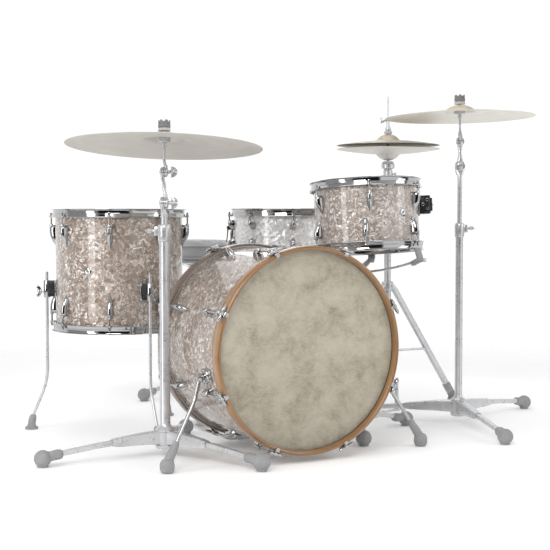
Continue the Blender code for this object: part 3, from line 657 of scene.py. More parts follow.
def tension_hardware(radius, edge, angles, length, lug_drop, width=0.0215):
    """Ears, rods with square heads, and lugs of one side of a drum; returns (hoop ears, lugs, rods)."""
    low = edge + HOOP_RISE - HOOP_DEPTH
    lug_top = edge - lug_drop
    out = radius + ROD_OUT
    ear = moved(slab(0.015, 0.017, 0.0034, 0.006, 0.0008), at(radius + 0.0152, 0, low + 0.0017))
    base = moved(slab(0.003, width * 0.9, 0.02, 0.0008, 0.0006), at(radius + 0.0006, 0, lug_top - 0.014))
    neck = moved(lathe(mm((0, -6), (5.6, -6), (5.6, 2), (4.7, 3.2), (3.4, 3.6), (0, 3.6)), 20),
        at(out, 0, lug_top))
    body = joined(moved(lug(length, width, ROD_OUT + 0.0055), at(radius, 0, lug_top)), base, neck)
    rod = round_bar(0.0027, lug_top + 0.002, low + 0.004, 12)
    washer = lathe(mm((0, 3.3), (6.2, 3.3), (6.2, 4.4), (5, 5.4), (5, 7.8), (3.8, 8.2), (0, 8.2), z=low),
        20)
    head = moved(slab(0.006, 0.006, 0.008, 0.001, 0.0008), at(0, 0, low + 0.012))
    rod = moved(joined(rod, washer, head), at(out, 0, 0))
    return around(ear, angles), around(body, angles), around(rod, angles)


def vent_shape(radius):
    """Plain air-vent grommet on a shell, facing +X."""
    ring = lathe(mm((3, -4), (3, 1.8), (4.5, 2.4), (10.5, 1.8), (12.5, 0.8), (12.5, -1), (6, -4)), 32)
    return moved(ring, turn("Y", 90), at(radius, 0, 0))


def make_drum(name, body, matrix, radius, depth, angles, length, lug_drop, shift, pale, vent_angle,
        stagger=0, chip=1.0):
    edge = depth / 2
    looks = {"pearl": (material(name + "_pearl", pearl, matrix, shift, pale, chip), "pearl"),
        "head": (material(name + "_film", coated_head, matrix), "coated_head")}
    piece(name + "_wrap", body, looks["pearl"], moved(shell_shape(radius, depth), matrix),
        stands_for=(name + "_shell",))
    for side, flip in (("batter", False), ("resonant", True)):
        put = placer(matrix, flip)
        round_at = [angle + stagger for angle in angles] if flip else angles
        ears, lugs, rods = tension_hardware(radius, edge, round_at, length, lug_drop)
        piece(f"{name}_{side}_film", body, looks["head"], put(head_shape(radius, edge)),
            stands_for=(f"{name}_{side}_head",))
        piece(f"{name}_{side}_rim", body, CHROME, put(metal_hoop_shape(radius, edge)), put(ears),
            stands_for=(f"{name}_{side}_hoop",))
        piece(f"{name}_{side}_lugs", body, CHROME, put(lugs))
        piece(f"{name}_{side}_rods", body, CHROME, put(rods))
    piece(name + "_vent", body, CHROME, moved(vent_shape(radius), turn("Z", vent_angle), matrix))


def make_bass():
    matrix = Matrix.Translation(centre_of("bass_shell")) @ turn("X", 90)
    r, edge, front = BASS["r"], BASS["depth"] / 2, BASS["overall"] / 2
    outer, width, rod_r = BASS["hoop_r"], BASS["hoop_width"], BASS["rod_r"]
    piece("bass_wrap", "root", (material("bass_pearl", pearl, matrix, 1.7, 0.0), "pearl"),
        moved(shell_shape(r, BASS["depth"]), matrix), stands_for=("bass_shell",))
    inner = r - 0.0009
    rebate = edge + 0.0016
    hoop = lathe([(inner, rebate), (r + 0.0062, rebate), (r + 0.0062, front - width),
        (outer - 0.003, front - width), (outer - 0.0009, front - width + 0.0009),
        (outer, front - width + 0.003), (outer, front - 0.0075), (outer - 0.001, front - 0.0042),
        (outer - 0.0034, front - 0.0017), (outer - 0.0065, front - 0.0004), ((outer + inner) / 2, front),
        (inner + 0.0058, front - 0.0005), (inner + 0.0032, front - 0.0017),
        (inner + 0.0012, front - 0.0036), (inner, front - 0.0065)], 144)
    amber = material("front_hoop_wood", wood, matrix, rebate, (0.16, 0.068, 0.02), (0.39, 0.215, 0.084))
    brown = material("rear_hoop_wood", wood, matrix, rebate, (0.13, 0.088, 0.066), (0.27, 0.2, 0.155))
    angles = [22.5 + 45 * k for k in range(8)]
    hook_path = eased([(inner + 0.0035, 0, front + 0.0012), (outer + 0.0008, 0, front + 0.0014),
        (outer + 0.0022, 0, front - 0.012), (rod_r - 0.001, 0, front - 0.0245)], 0.004, 3)
    claw = joined(blade(hook_path, (0, 1, 0), [0.011 + 0.01 * min(1, k / 7) for k in range(len(hook_path))],
        0.0028, 0.4), moved(slab(0.013, 0.021, 0.017, 0.005, 0.0015), at(rod_r, 0, front - 0.0235)),
        moved(lathe(mm((0, -2), (6.6, -2), (6.6, 1.2), (5.2, 2.4), (0, 2.4)), 20),
        at(rod_r, 0, front - 0.015)))
    lug_top = edge - 0.072
    bass_lug = joined(moved(lug(0.046, 0.0205, rod_r - r + 0.0065), at(r, 0, lug_top)),
        moved(lathe(mm((0, -6), (6.2, -6), (6.2, 3), (4.5, 4.5), (0, 4.5)), 20), at(rod_r, 0, lug_top)))
    handle = [(rod_r, (k - 6) * 0.0042, front - 0.006) for k in range(13)]
    half_swell = [0.0022, 0.0046, 0.0057, 0.006, 0.0055, 0.0046]
    swell = half_swell + [0.005] + half_swell[::-1]
    t_rod = joined(moved(lathe(mm((0, 0), (3, 0), z=lug_top)
        + mm((3, -13.5), (6.2, -12.5), (6.2, -3), (4.5, -0.5), (0, -0.5), z=front), 18), at(rod_r, 0, 0)),
        blade(handle, (0, 0, 1), [2.2 * size for size in swell], [1.7 * size for size in swell], 1, 16))
    spin = [moved(t_rod, at(-rod_r, 0, 0), turn("Z", 9 - 5 * (k % 4)), at(rod_r, 0, 0), turn("Z", angle))
        for k, angle in enumerate(angles)]
    front_film = material("front_film", fibre_head, matrix), "fibre_head"
    rear_film = material("rear_film", coated_head, matrix), "coated_head"
    for side, look, film, node_side in (("front", amber, front_film, "front"),
            ("rear", brown, rear_film, "batter")):
        put = placer(matrix, side == "rear")
        piece(f"bass_{side}_film", "root", film, put(head_shape(r, edge)),
            stands_for=(f"bass_{node_side}_head",))
        piece(f"bass_{side}_ring", "root", (look, "maple"), put(hoop),
            stands_for=(f"bass_{node_side}_hoop",))
        piece(f"bass_{side}_claws", "root", CHROME, put(around(claw, angles)))
        piece(f"bass_{side}_lugs", "root", CHROME, put(around(bass_lug, angles)))
        piece(f"bass_{side}_t_rods", "root", CHROME, put(joined(*spin)))
    piece("bass_vent", "root", CHROME, moved(vent_shape(r), turn("Z", 90), matrix))
    for side, sign in (("left", -1), ("right", 1)):
        make_spur(side, sign)


def make_spur(side, sign):
    hinge, axis = joint_at(f"spur_{side}_fold")
    bass = centre_of("bass_shell")
    out = Vector((hinge.x - bass.x, 0, hinge.z - bass.z)).normalized()
    base = Vector((bass.x, hinge.y, bass.z)) + out * BASS["r"]
    frame_at = aimed(base, out, (0, -1, 0))
    plate = moved(slab(0.056, 0.04, 0.005, 0.012, 0.0012), at(0, 0, 0.0016))
    boss = lathe(mm((0, 2), (20.5, 2), (20.5, 7), (18.5, 9.5), (15, 10.5), (14, 14), (0, 14)), 36, 0.025,
        18)
    screws = [moved(dome(0.0042, 0.0026, 16), at(x, 0, 0.004)) for x in (-0.0235, 0.0235)]
    piece(f"spur_{side}_bracket", "root", CHROME, moved(joined(plate, boss, *screws), frame_at),
        stands_for=(f"bass_spur_bracket_{side}",))
    low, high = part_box(f"bass_spur_{side}")
    foot = Vector((high.x - 0.02 if sign > 0 else low.x + 0.02, hinge.y - 0.04, 0.0))
    knee = hinge + Vector((sign * 0.02, -0.007, -0.058))
    ankle = foot + Vector((0, 0, 0.025))
    body = f"spur_{side}"
    knuckle = moved(lathe(mm((0, -10), (6, -9.6), (10.4, -7.2), (12, -3), (12, 3), (10.4, 7.2), (6, 9.6),
        (0, 10)), 24), aimed(hinge, axis, (0, -1, 0)))
    shin = eased([hinge + out * 0.002, knee, ankle.lerp(knee, 0.2)], 0.012)
    piece(f"spur_{side}_leg", body, CHROME, knuckle, tube(shin, 0.0056, 16),
        stands_for=(f"bass_spur_{side}",))
    neck = tube(between(ankle, knee, 0.34, 0.31, 0.29, 0.14, 0.02),
        [0.0075, 0.0095, 0.0105, 0.0125, 0.0135], 20)
    ball = lathe(mm((0, 0), (11, 0), (15, 1.6), (18.6, 7.5), (20, 14), (20, 21.5), (18.6, 29), (14.5, 35.5),
        (8, 39.2), (0, 40)), 32)
    piece(f"spur_{side}_foot", body, RUBBER, neck, moved(ball, Matrix.Translation(foot)))


def make_floor_tom():
    centre = centre_of("floor_tom_batter_head")
    low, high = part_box("floor_tom_shell")
    centre.z = (low.z + high.z) / 2
    radius = 0.202
    make_drum("floor_tom", "root", Matrix.Translation(centre), radius, 0.3556,
        [-119.6 + 45 * k for k in range(8)], 0.07, 0.036, 0.4, 0.0, -140)
    blocks, fittings = [], []
    for number, angle in ((1, 154), (2, 34), (3, -88)):
        turned_to = turn("Z", angle)
        reach = 0.232
        mid = 0.45 - centre.z
        spot = Matrix.Translation(centre) @ turned_to
        block = joined(moved(slab(0.028, 0.034, 0.034, 0.006, 0.0022, 4),
            at(reach - 0.0145, 0, mid + 0.011)),
            moved(slab(0.026, 0.026, 0.018, 0.006, 0.0022, 4), at(reach - 0.0155, 0, mid - 0.014)))
        blocks.append(moved(block, spot))
        fitting = joined(moved(slab(0.0035, 0.038, 0.056, 0.0014, 0.001), at(radius + 0.001, 0, mid)),
            moved(lathe(mm((5.6, -26), (9.8, -26), (10.6, -24.5), (10.6, 27.5), (9.6, 29), (5.6, 29)), 32),
            at(reach, 0, mid)), moved(wing_screw(0.034, 0.011), turn("X", 90),
            at(reach + 0.0085, 0, mid - 0.006)),
            *[moved(dome(0.0034, 0.0022, 14), turn("Y", 90), at(radius + 0.0026, y, mid + z))
            for y in (-0.0145, 0.0145) for z in (-0.0225, 0.0225)])
        fittings.append(moved(fitting, spot))
        spot = Matrix.Translation((centre.x, centre.y, 0)) @ turned_to @ at(reach, 0, 0)
        toe = 0.285 - reach
        leg = tube(eased([(0, 0, 0.505), (0, 0, 0.155), (toe, 0, 0.03)], 0.045, 8), 0.0048, 16)
        cap = lathe(mm((0, 503), (4.6, 503), (3.6, 506.5), (0, 507.5)), 16)
        body = f"floor_leg_{number}"
        piece(f"floor_tom_leg_rod_{number}", body, (STEEL[0], "chrome"), moved(joined(leg, cap), spot),
            stands_for=(f"floor_tom_leg_{number}",))
        shaft = Vector((-toe, 0, 0.125)).normalized()
        sleeve = lathe(mm((0, 0), (14.8, 0), (20.5, 1), (21.4, 3.5), (20.6, 6.2), (15, 9.2), (12.8, 14),
            (12.2, 23), (12.6, 30), (11.2, 40), (8.5, 46), (6, 47.5), (0, 47.5)), 32)
        tipped = [Vector((p.x + shaft.x * max(0.0, p.z - 0.012) * 0.42, p.y, p.z)) for p in sleeve[0]]
        piece(f"floor_tom_leg_foot_{number}", body, RUBBER, moved((tipped, sleeve[1]), at(toe, 0, 0), spot))
    piece("floor_tom_bracket_blocks", "root", BLACK, *blocks)
    piece("floor_tom_bracket_fittings", "root", CHROME, *fittings)


def make_rack_tom():
    matrix = Matrix.Translation(centre_of("rack_tom_shell")) @ turn("X", -5)
    low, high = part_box("rack_tom_resonant_hoop")
    radius = (high.x - low.x) / 2 - 0.0125
    depth = 0.19
    make_drum("rack_tom", "tom_basket", matrix, radius, depth, [-119.0 + 60 * k for k in range(6)], 0.056,
        0.03, 2.9, 0.16, -80, -5.5, 0.78)
    spot = matrix @ turn("Z", VIEW_TURN)
    black = joined(moved(slab(0.034, 0.036, 0.056, 0.006, 0.002), at(radius + 0.0205, 0, 0.031)),
        moved(slab(0.008, 0.024, 0.04, 0.004, 0.0015), at(radius + 0.04, 0, 0.031)))
    piece("rack_tom_mount_block", "tom_basket", BLACK, moved(black, spot), stands_for=("rack_tom_mount",))
    screw = moved(lathe(mm((0, -1), (5, -1), (5, 2.4), (3.6, 3.6), (0, 3.8)), 6), turn("X", 90))
    bright = joined(moved(slab(0.0036, 0.038, 0.068, 0.0016, 0.001), at(radius + 0.0012, 0, 0.03)),
        *[moved(dome(0.0036, 0.0022, 16), turn("Y", 90), at(radius + 0.003, 0, z)) for z in (0.0, 0.06)],
        *[moved(screw, at(radius + x, -0.018, z))
        for x, z in ((0.0265, 0.045), (0.0265, 0.019), (0.013, 0.031))],
        moved(screw, turn("Z", 90), at(radius + 0.044, 0, 0.031)))
    piece("rack_tom_mount_fittings", "tom_basket", CHROME, moved(bright, spot))


def make_snare():
    matrix = Matrix.Translation(centre_of("snare_shell"))
    radius, depth = 0.1778, 0.1397
    make_drum("snare", "snare_basket", matrix, radius, depth, [-112 + 45 * k for k in range(8)], 0.028,
        0.03, 4.3, 0.88, -40)
    side = matrix @ turn("Z", 150)
    plate = joined(moved(slab(0.0075, 0.03, 0.08, 0.003, 0.0015), at(radius + 0.0055, 0, -0.006)),
        moved(slab(0.0105, 0.024, 0.05, 0.004, 0.002), at(radius + 0.008, 0, -0.016)),
        moved(slab(0.014, 0.007, 0.018, 0.0025, 0.0015), at(radius + 0.014, -0.0105, 0.02)),
        moved(lathe(mm((0, 0), (7.5, 0), (8.2, 1.5), (8.2, 10), (7, 12), (0, 12)), 24, 0.04, 12),
        at(radius + 0.0085, 0, 0.0335)))
    piece("snare_strainer_plate", "snare_basket", CHROME, moved(plate, side),
        stands_for=("snare_strainer",))
    lever = joined(moved(lathe(mm((0, -6), (6.2, -6), (6.2, 10), (4.5, 11.2), (0, 11.2)), 24),
        turn("X", 90)), blade([(0.0025, 0.002, -0.001), (0.003, 0.002, -0.016), (0.0045, 0.002, -0.034),
        (0.0075, 0.002, -0.05)], (0, 1, 0), [0.009, 0.01, 0.011, 0.013], [0.006, 0.0046, 0.004, 0.0045],
        0.4))
    piece("snare_lever_arm", "throw_off", CHROME, moved(lever, at(radius + 0.019, 0.005, 0.02), side),
        stands_for=("snare_lever",))
    wires = []
    under = -depth / 2 - 0.0036
    for k in range(20):
        y = (k - 9.5) * 0.0021
        path = [(-0.112 + 0.224 * s / 72, y + 0.0006 * math.cos(s * math.pi / 2),
            under + 0.0006 * math.sin(s * math.pi / 2)) for s in range(73)]
        wires.append(blade(path, (0, 0, 1), 0.0007, 0.0007, 1, 4))
    ends = [moved(slab(0.016, 0.046, 0.0014, 0.002, 0.0003), at(x, 0, under)) for x in (-0.118, 0.118)]
    piece("snare_wires", "snare_basket", STEEL, moved(joined(*wires, *ends), turn("Z", 150), matrix))


# ---- Stands ----------------------------------------

def foot_shapes(angle, reach):
    """Rubber neck and round foot at the end of a flat leg."""
    ball = lathe([(0, 0), (0.0125, 0), (0.015, 0.0014)]
        + [(0.024 * math.cos(math.radians(a)), 0.0235 + 0.0235 * math.sin(math.radians(a)))
        for a in (-52, -38, -24, -10, 4, 18, 32, 46, 60, 74)] + [(0, 0.047)], 36)
    ends = [polar(angle, reach - out, z)
        for out, z in ((0.056, 0.0322), (0.0545, 0.0322), (0.052, 0.032), (0.044, 0.0312), (0.028, 0.029),
        (0.01, 0.0262))]
    return [moved(ball, Matrix.Translation(polar(angle, reach))),
        blade(ends, crosswise(angle), [0.016, 0.022, 0.025, 0.0285, 0.0275, 0.029],
        [0.012, 0.02, 0.024, 0.0275, 0.0265, 0.028], 0.7, 20)]


def rivets(middle, across, offset, height):
    """Rivet heads on both sides of a bar."""
    return [moved(dome(0.0042, height, 16, 3), aimed(middle + side * offset, side, (0, 0, 1)))
        for side in (-across, across)]


def leg_shapes(angle, reach):
    """Channel from the hub, the bar folded into it, and their rivets."""
    across = crosswise(angle)
    sheet = channel([(polar(angle, 0.01, 0.055), 0.027, 0.04),
        (polar(angle, reach * 0.2, 0.054), 0.025, 0.033),
        (polar(angle, reach * 0.4, 0.0505), 0.0225, 0.0245),
        (polar(angle, reach * 0.45, 0.05), 0.0205, 0.0185)])
    bar_path = [polar(angle, reach * s, z) for s, z in ((0.3, 0.0525), (0.44, 0.0495), (0.6, 0.044))]
    bar_path.append(polar(angle, reach - 0.03, 0.0305))
    bar_shape = blade(bar_path, across, [0.0135, 0.015, 0.015, 0.015], [0.015, 0.0155, 0.0155, 0.015], 0.3)
    return [sheet, bar_shape, *rivets(polar(angle, reach * 0.12, 0.052), across, 0.0134, 0.0022),
        *rivets(polar(angle, reach * 0.38, 0.052), across, 0.0116, 0.0022)]


def make_base(name, node_name, hub, legs, radius, bore, top, screw_at=VIEW_TURN):
    """Flat legs, hub, tube, height clamp and feet of a free-standing stand."""
    place_at = at(hub.x, hub.y, 0)
    metal, feet = [], []
    for angle, reach in legs:
        metal += leg_shapes(angle, reach)
        feet += foot_shapes(angle, reach)
    hub_r = radius + 0.013
    metal.append(lathe([(0, 0.022), (hub_r - 0.003, 0.022), (hub_r, 0.0245), (hub_r, 0.032),
        (hub_r - 0.0035, 0.0345), (hub_r - 0.0035, 0.069), (hub_r, 0.0715), (hub_r, 0.0765),
        (hub_r - 0.002, 0.079), (radius + 0.003, 0.085), (radius + 0.001, 0.09), (radius, 0.092),
        (radius, top - 0.044), (bore, top - 0.044), (bore, 0.096), (0, 0.096)], 40))
    clamp = lathe(mm((0, -48), (2.2, -47), (3.6, -43), (3.8, -8), (3, -4), (0.8, -0.6), r=radius, z=top)
        + mm((0.2, 0), (0.2, -46), r=bore, z=top), 40)
    out = radius + 0.003
    lug_block = moved(slab(0.015, 0.014, 0.026, 0.004, 0.0016), at(out + 0.0042, 0, top - 0.019))
    screw = moved(wing_screw(0.04, 0.013), at(out + 0.01, 0, top - 0.018))
    facing = turn("Z", screw_at)
    piece(name + "_legs", "root", STEEL, moved(joined(*metal), place_at), stands_for=(node_name,))
    piece(name + "_clamp", "root", STEEL,
        moved(joined(clamp, moved(joined(lug_block, screw), facing)), place_at))
    piece(name + "_feet", "root", RUBBER, moved(joined(*feet), place_at))


def ratchet_disc(side, radius, thickness):
    """Toothed half of a ratchet on one side of its middle plane; the axis is X."""
    face = 0.0004
    outline = [(0, face), (radius - 0.001, face), (radius, face + 0.001), (radius, face + 0.0028),
        (radius - 0.0014, face + 0.0036), (radius - 0.0008, face + 0.0046),
        (radius - 0.001, thickness - 0.0022), (radius - 0.0038, thickness), (radius * 0.45, thickness),
        (radius * 0.4, thickness + 0.0006), (0, thickness + 0.0006)]
    return moved(lathe(outline, 72, 0.012, 36), turn("Y", 90 * side))


def half_knob(thickness, radius=0.017):
    """Half-round grip with a centre slot on the ratchet's bolt, on the +X side."""
    shank = moved(lathe(mm((0, -2), (5.2, -2), (5.2, 9), (7.8, 10.5), (7.8, 15), (0, 16), z=thickness), 24),
        turn("Y", 90))
    lobes = []
    for sign in (-1, 1):
        rings = []
        for k in range(9):
            share = k / 8
            z = sign * (0.0012 + (radius - 0.0012) * share)
            reach = math.sqrt(max(0.0, 1 - (abs(z) / (radius + 0.0004)) ** 2)) * 0.019 + 0.0006
            half = 0.0042 - 0.0012 * share
            ring = [(thickness + 0.0085 + x * reach, y * half, z)
                for x, y in ((0, -0.8), (0.1, -1), (0.8, -0.9), (0.98, -0.5), (0.98, 0.5), (0.8, 0.9),
                (0.1, 1), (0, 0.8))]
            rings.append(ring)
        lobes.append(loft(rings))
    return joined(shank, *lobes)


def neck_shape(z_wide, z_narrow, radius, wide=0.021, offset=-0.0052):
    """Tube end pressed flat into a ratchet cheek, from the ratchet towards the tube."""
    heights = [z_wide + (z_narrow - z_wide) * s for s in (0, 0.18, 0.4, 0.65, 0.85, 1)]
    widths = [wide, wide * 1.04, wide * 0.98, wide * 0.6 + radius * 0.8, radius * 2.1, radius * 2.0]
    thicks = [0.0085, 0.0098, 0.0125, radius * 1.75, radius * 1.98, radius * 2.0]
    shifts = [offset, offset, offset * 0.75, offset * 0.3, 0, 0]
    return blade([(shift, 0, z) for shift, z in zip(shifts, heights)], (0, 1, 0), widths, thicks, 0.75, 24)


def bolt_end(radius, out, z=0.0):
    """Button on the -X end of a ratchet's bolt."""
    return moved(dome(radius, 0.0035 if z == 0 else 0.003, 20), turn("Y", -90), at(-out, 0, z))


def ratchet_post(radius, low, neck_low, wide, disc_r, bolt_r):
    """Post from `low` up to its flattened end and its half of the ratchet at z = 0."""
    return joined(round_bar(radius, low, neck_low + 0.005, 32), neck_shape(-0.006, neck_low, radius, wide),
        ratchet_disc(-1, disc_r, CHEEK), bolt_end(bolt_r, CHEEK + 0.0002))


def make_cymbal_stand(name, legs, lower_r, post_r, clamp_z, tone, screw_at):
    ratchet, ratchet_axis = joint_at(name + "_ratchet")
    tilter, tilt_axis = joint_at(name + "_tilt_turn")
    plate_at, plate_axis = joint_at(name + "_spin")
    make_base(name + "_stand", name + "_stand_base", ratchet, legs, lower_r, post_r + 0.0005,
        clamp_z + 0.018, screw_at)
    at_ratchet = aimed(ratchet, (0, 0, 1), ratchet_axis)
    tube_low = 0.36 - ratchet.z
    post = ratchet_post(post_r, tube_low, -0.039, 0.03, RATCHET_R, 0.0075)
    piece(name + "_post_tube", name + "_post", STEEL, moved(post, at_ratchet),
        stands_for=(name + "_stand_post",))
    rise = (tilter - ratchet).length
    arm = joined(ratchet_disc(1, RATCHET_R, CHEEK), half_knob(CHEEK),
        neck_shape(0.004, 0.044, 0.0056, 0.019, 0.0052),
        tube([(0, 0, 0.036), (0, 0, rise - 0.036)], 0.0056, 20),
        neck_shape(rise - 0.004, rise - 0.04, 0.0056, 0.016),
        moved(ratchet_disc(-1, TILTER_R, SMALL_CHEEK), at(0, 0, rise)),
        bolt_end(0.0062, SMALL_CHEEK + 0.0002, rise))
    piece(name + "_arm_tube", name + "_arm", STEEL, moved(arm, at_ratchet),
        stands_for=(name + "_stand_arm",))
    edge = (plate_at - tilter).length
    low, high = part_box(name + "_cymbal")
    cymbal_r = (high.x - low.x) / 2 / max(abs(plate_axis.z), 0.99)
    at_tilter = aimed(tilter, plate_at - tilter, tilt_axis)
    bow = 0.075 * cymbal_r
    seat = edge + bow + BELL - 0.0035
    top_part = joined(ratchet_disc(1, TILTER_R, SMALL_CHEEK), half_knob(SMALL_CHEEK, 0.0155),
        neck_shape(0.003, 0.036, 0.0045, 0.015, 0.005),
        tube([(0, 0, 0.03), (0, 0, seat + 0.039)], 0.0038, 18),
        lathe(mm((0, -40), (6, -40), (6.8, -38.5), (6.8, -27), (9.5, -26.2), (17.2, -25.5), (17.8, -24.3),
        (17.2, -23.2), (0, -23.2), z=seat), 36),
        lathe(mm((3.8, 12.8), (16.5, 12.8), (17, 13.5), (16.5, 14.6), (3.8, 14.6), z=seat), 36))
    piece(name + "_tilter_rod", name + "_tilt", STEEL, moved(top_part, at_tilter),
        stands_for=(name + "_tilter",))
    pads = joined(lathe(mm((4, -23), (17.8, -23), (18.8, -19), (18.6, -10), (17.2, -5), (4, -4.4), z=seat),
        36), lathe(mm((4, 6.2), (17.6, 6.2), (18.4, 8.5), (17.6, 12.7), (4, 12.7), z=seat), 36))
    piece(name + "_felts", name + "_tilt", FELT, moved(pads, at_tilter))
    crown = [lathe(mm((4, 14.8), (15.8, 14.8), (17.6, 16), (17.6, 25), (12, 26.2), (10, 32), (8.5, 33.5),
        (4, 33.5), z=seat), 36)]
    for angle in (0, 60, 120, 180, 240, 300):
        fin = [polar(angle, r, seat + z)
            for r, z in ((0.014, 0.022), (0.0146, 0.028), (0.0152, 0.033), (0.0154, 0.036),
            (0.0152, 0.0372))]
        crown.append(blade(fin, polar(angle + 90, 1), [0.01, 0.0096, 0.0088, 0.007, 0.003],
            [0.0058, 0.0048, 0.004, 0.0034, 0.0018], 0.6))
    piece(name + "_crown_nut", name + "_tilt", DARK_RUBBER, moved(joined(*crown), at_tilter),
        stands_for=(name + "_wing_nut",))
    at_plate = aimed(plate_at, plate_axis, (1, 0, 0))
    look = material(name + "_bronze", bronze, at_plate, tone)
    piece(name + "_plate", name + "_plate", (look, "bronze"),
        moved(cymbal_shape(cymbal_r, bow, BELL), at_plate), stands_for=(name + "_cymbal",))


def cymbal_shape(radius, bow, bell, thickness=0.0013):
    """Cymbal with its edge at height 0 and its bell on top."""
    bell_r = 0.19 * radius + 0.008
    top = [(0.0065, bow + bell)]
    top += [(bell_r * s, bow + bell * (1 - s ** 2.6)) for s in (0.25, 0.42, 0.58, 0.72, 0.84, 0.93)]
    top += [(bell_r + 0.0015, bow - 0.0006)]
    for s in (0.1, 0.2, 0.32, 0.45, 0.58, 0.7, 0.8, 0.88, 0.94, 0.98, 1.0):
        top.append((bell_r + (radius - bell_r) * s, bow * (1 - s ** 1.45) * 0.99))
    under = [(r - (0.0004 if k == 0 else 0), z - thickness) for k, (r, z) in enumerate(reversed(top))]
    return lathe(top + under, 144)


def basket_arm_shape(start, tip, out):
    """Arm that widens to a flat paddle and narrows to the grip."""
    across = Vector((-out.y, out.x, 0))
    sag = Vector((0, 0, 0.01))
    shares = ((0.0, 0.0), (0.12, 0.45), (0.3, 0.85), (0.5, 1.0), (0.66, 0.92), (0.8, 0.68), (0.92, 0.34),
        (1.0, 0.1))
    path = [start.lerp(tip, share) - sag * drop for share, drop in shares]
    return blade(path, across, [0.012, 0.014, 0.018, 0.023, 0.024, 0.019, 0.013, 0.01],
        [0.009, 0.0085, 0.0075, 0.0065, 0.0065, 0.007, 0.008, 0.008], 0.6, 20)


def make_drum_stand(name, legs, tilt_joint, hub_lift, hoop_node, angles):
    tilt, _ = joint_at(tilt_joint)
    low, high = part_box(hoop_node)
    centre = (low + high) / 2
    hoop_r = (high.x - low.x) / 2
    hoop_z = low.z + (0.0162 if name == "tom_stand" else 0.0)
    make_base(name, name + "_base", tilt, legs, 0.0125, 0.01, tilt.z - 0.06)
    body = {"tom_stand": "tom", "snare_stand": "snare"}[name]
    spot = Matrix.Translation(tilt)
    post = ratchet_post(0.0095, -0.3, -0.043, 0.027, BASKET_RATCHET_R, 0.007)
    piece(name + "_post_tube", body + "_post", STEEL, moved(post, spot), stands_for=(name + "_post",))
    metal = [moved(joined(ratchet_disc(1, BASKET_RATCHET_R, CHEEK), half_knob(CHEEK),
        blade([(0.0054, 0, 0), (0.0054, 0, hub_lift * 0.7), (0.002, 0, hub_lift + 0.004)], (0, 1, 0),
        [0.02, 0.019, 0.017], [0.0092, 0.0092, 0.01], 0.5),
        lathe(mm((0, -12), (12.5, -12), (14.5, -10), (14.5, 6), (12, 9.5), (6, 11.5), (0, 12), z=hub_lift),
        32)), spot)]
    grips = []
    start = tilt + Vector((0, 0, hub_lift))
    for angle in angles:
        out = polar(angle, 1)
        tip = Vector((centre.x, centre.y, 0)) + out * (hoop_r + 0.012) + Vector((0, 0, hoop_z - 0.02))
        metal.append(basket_arm_shape(start + out * 0.006, tip, out))
        spot_at = aimed(tip, (0, 0, 1), out)
        grip = joined(moved(slab(0.034, 0.0205, 0.014, 0.004, 0.002), at(-0.011, 0, 0), turn("Y", -27)),
            moved(slab(0.0118, 0.0235, 0.044, 0.0035, 0.002), at(0.004, 0, 0.014), turn("Y", -19)))
        grips.append(moved(grip, spot_at))
        screw = joined(tube([(0.008, 0, 0), (0.018, 0, 0)], 0.0028, 12),
            moved(lathe(mm((0, 16), (5.5, 16), (6.2, 17.5), (6.2, 21.5), (5, 23), (0, 23)), 20, 0.05, 10),
            turn("Y", 90)))
        metal.append(moved(screw, spot_at))
    piece(name + "_basket_arms", body + "_basket", STEEL, *metal, stands_for=(name + "_basket",))
    piece(name + "_basket_grips", body + "_basket", RUBBER, *grips)


# ---- Hi-hat ----------------------------------------------------------------------------------------------

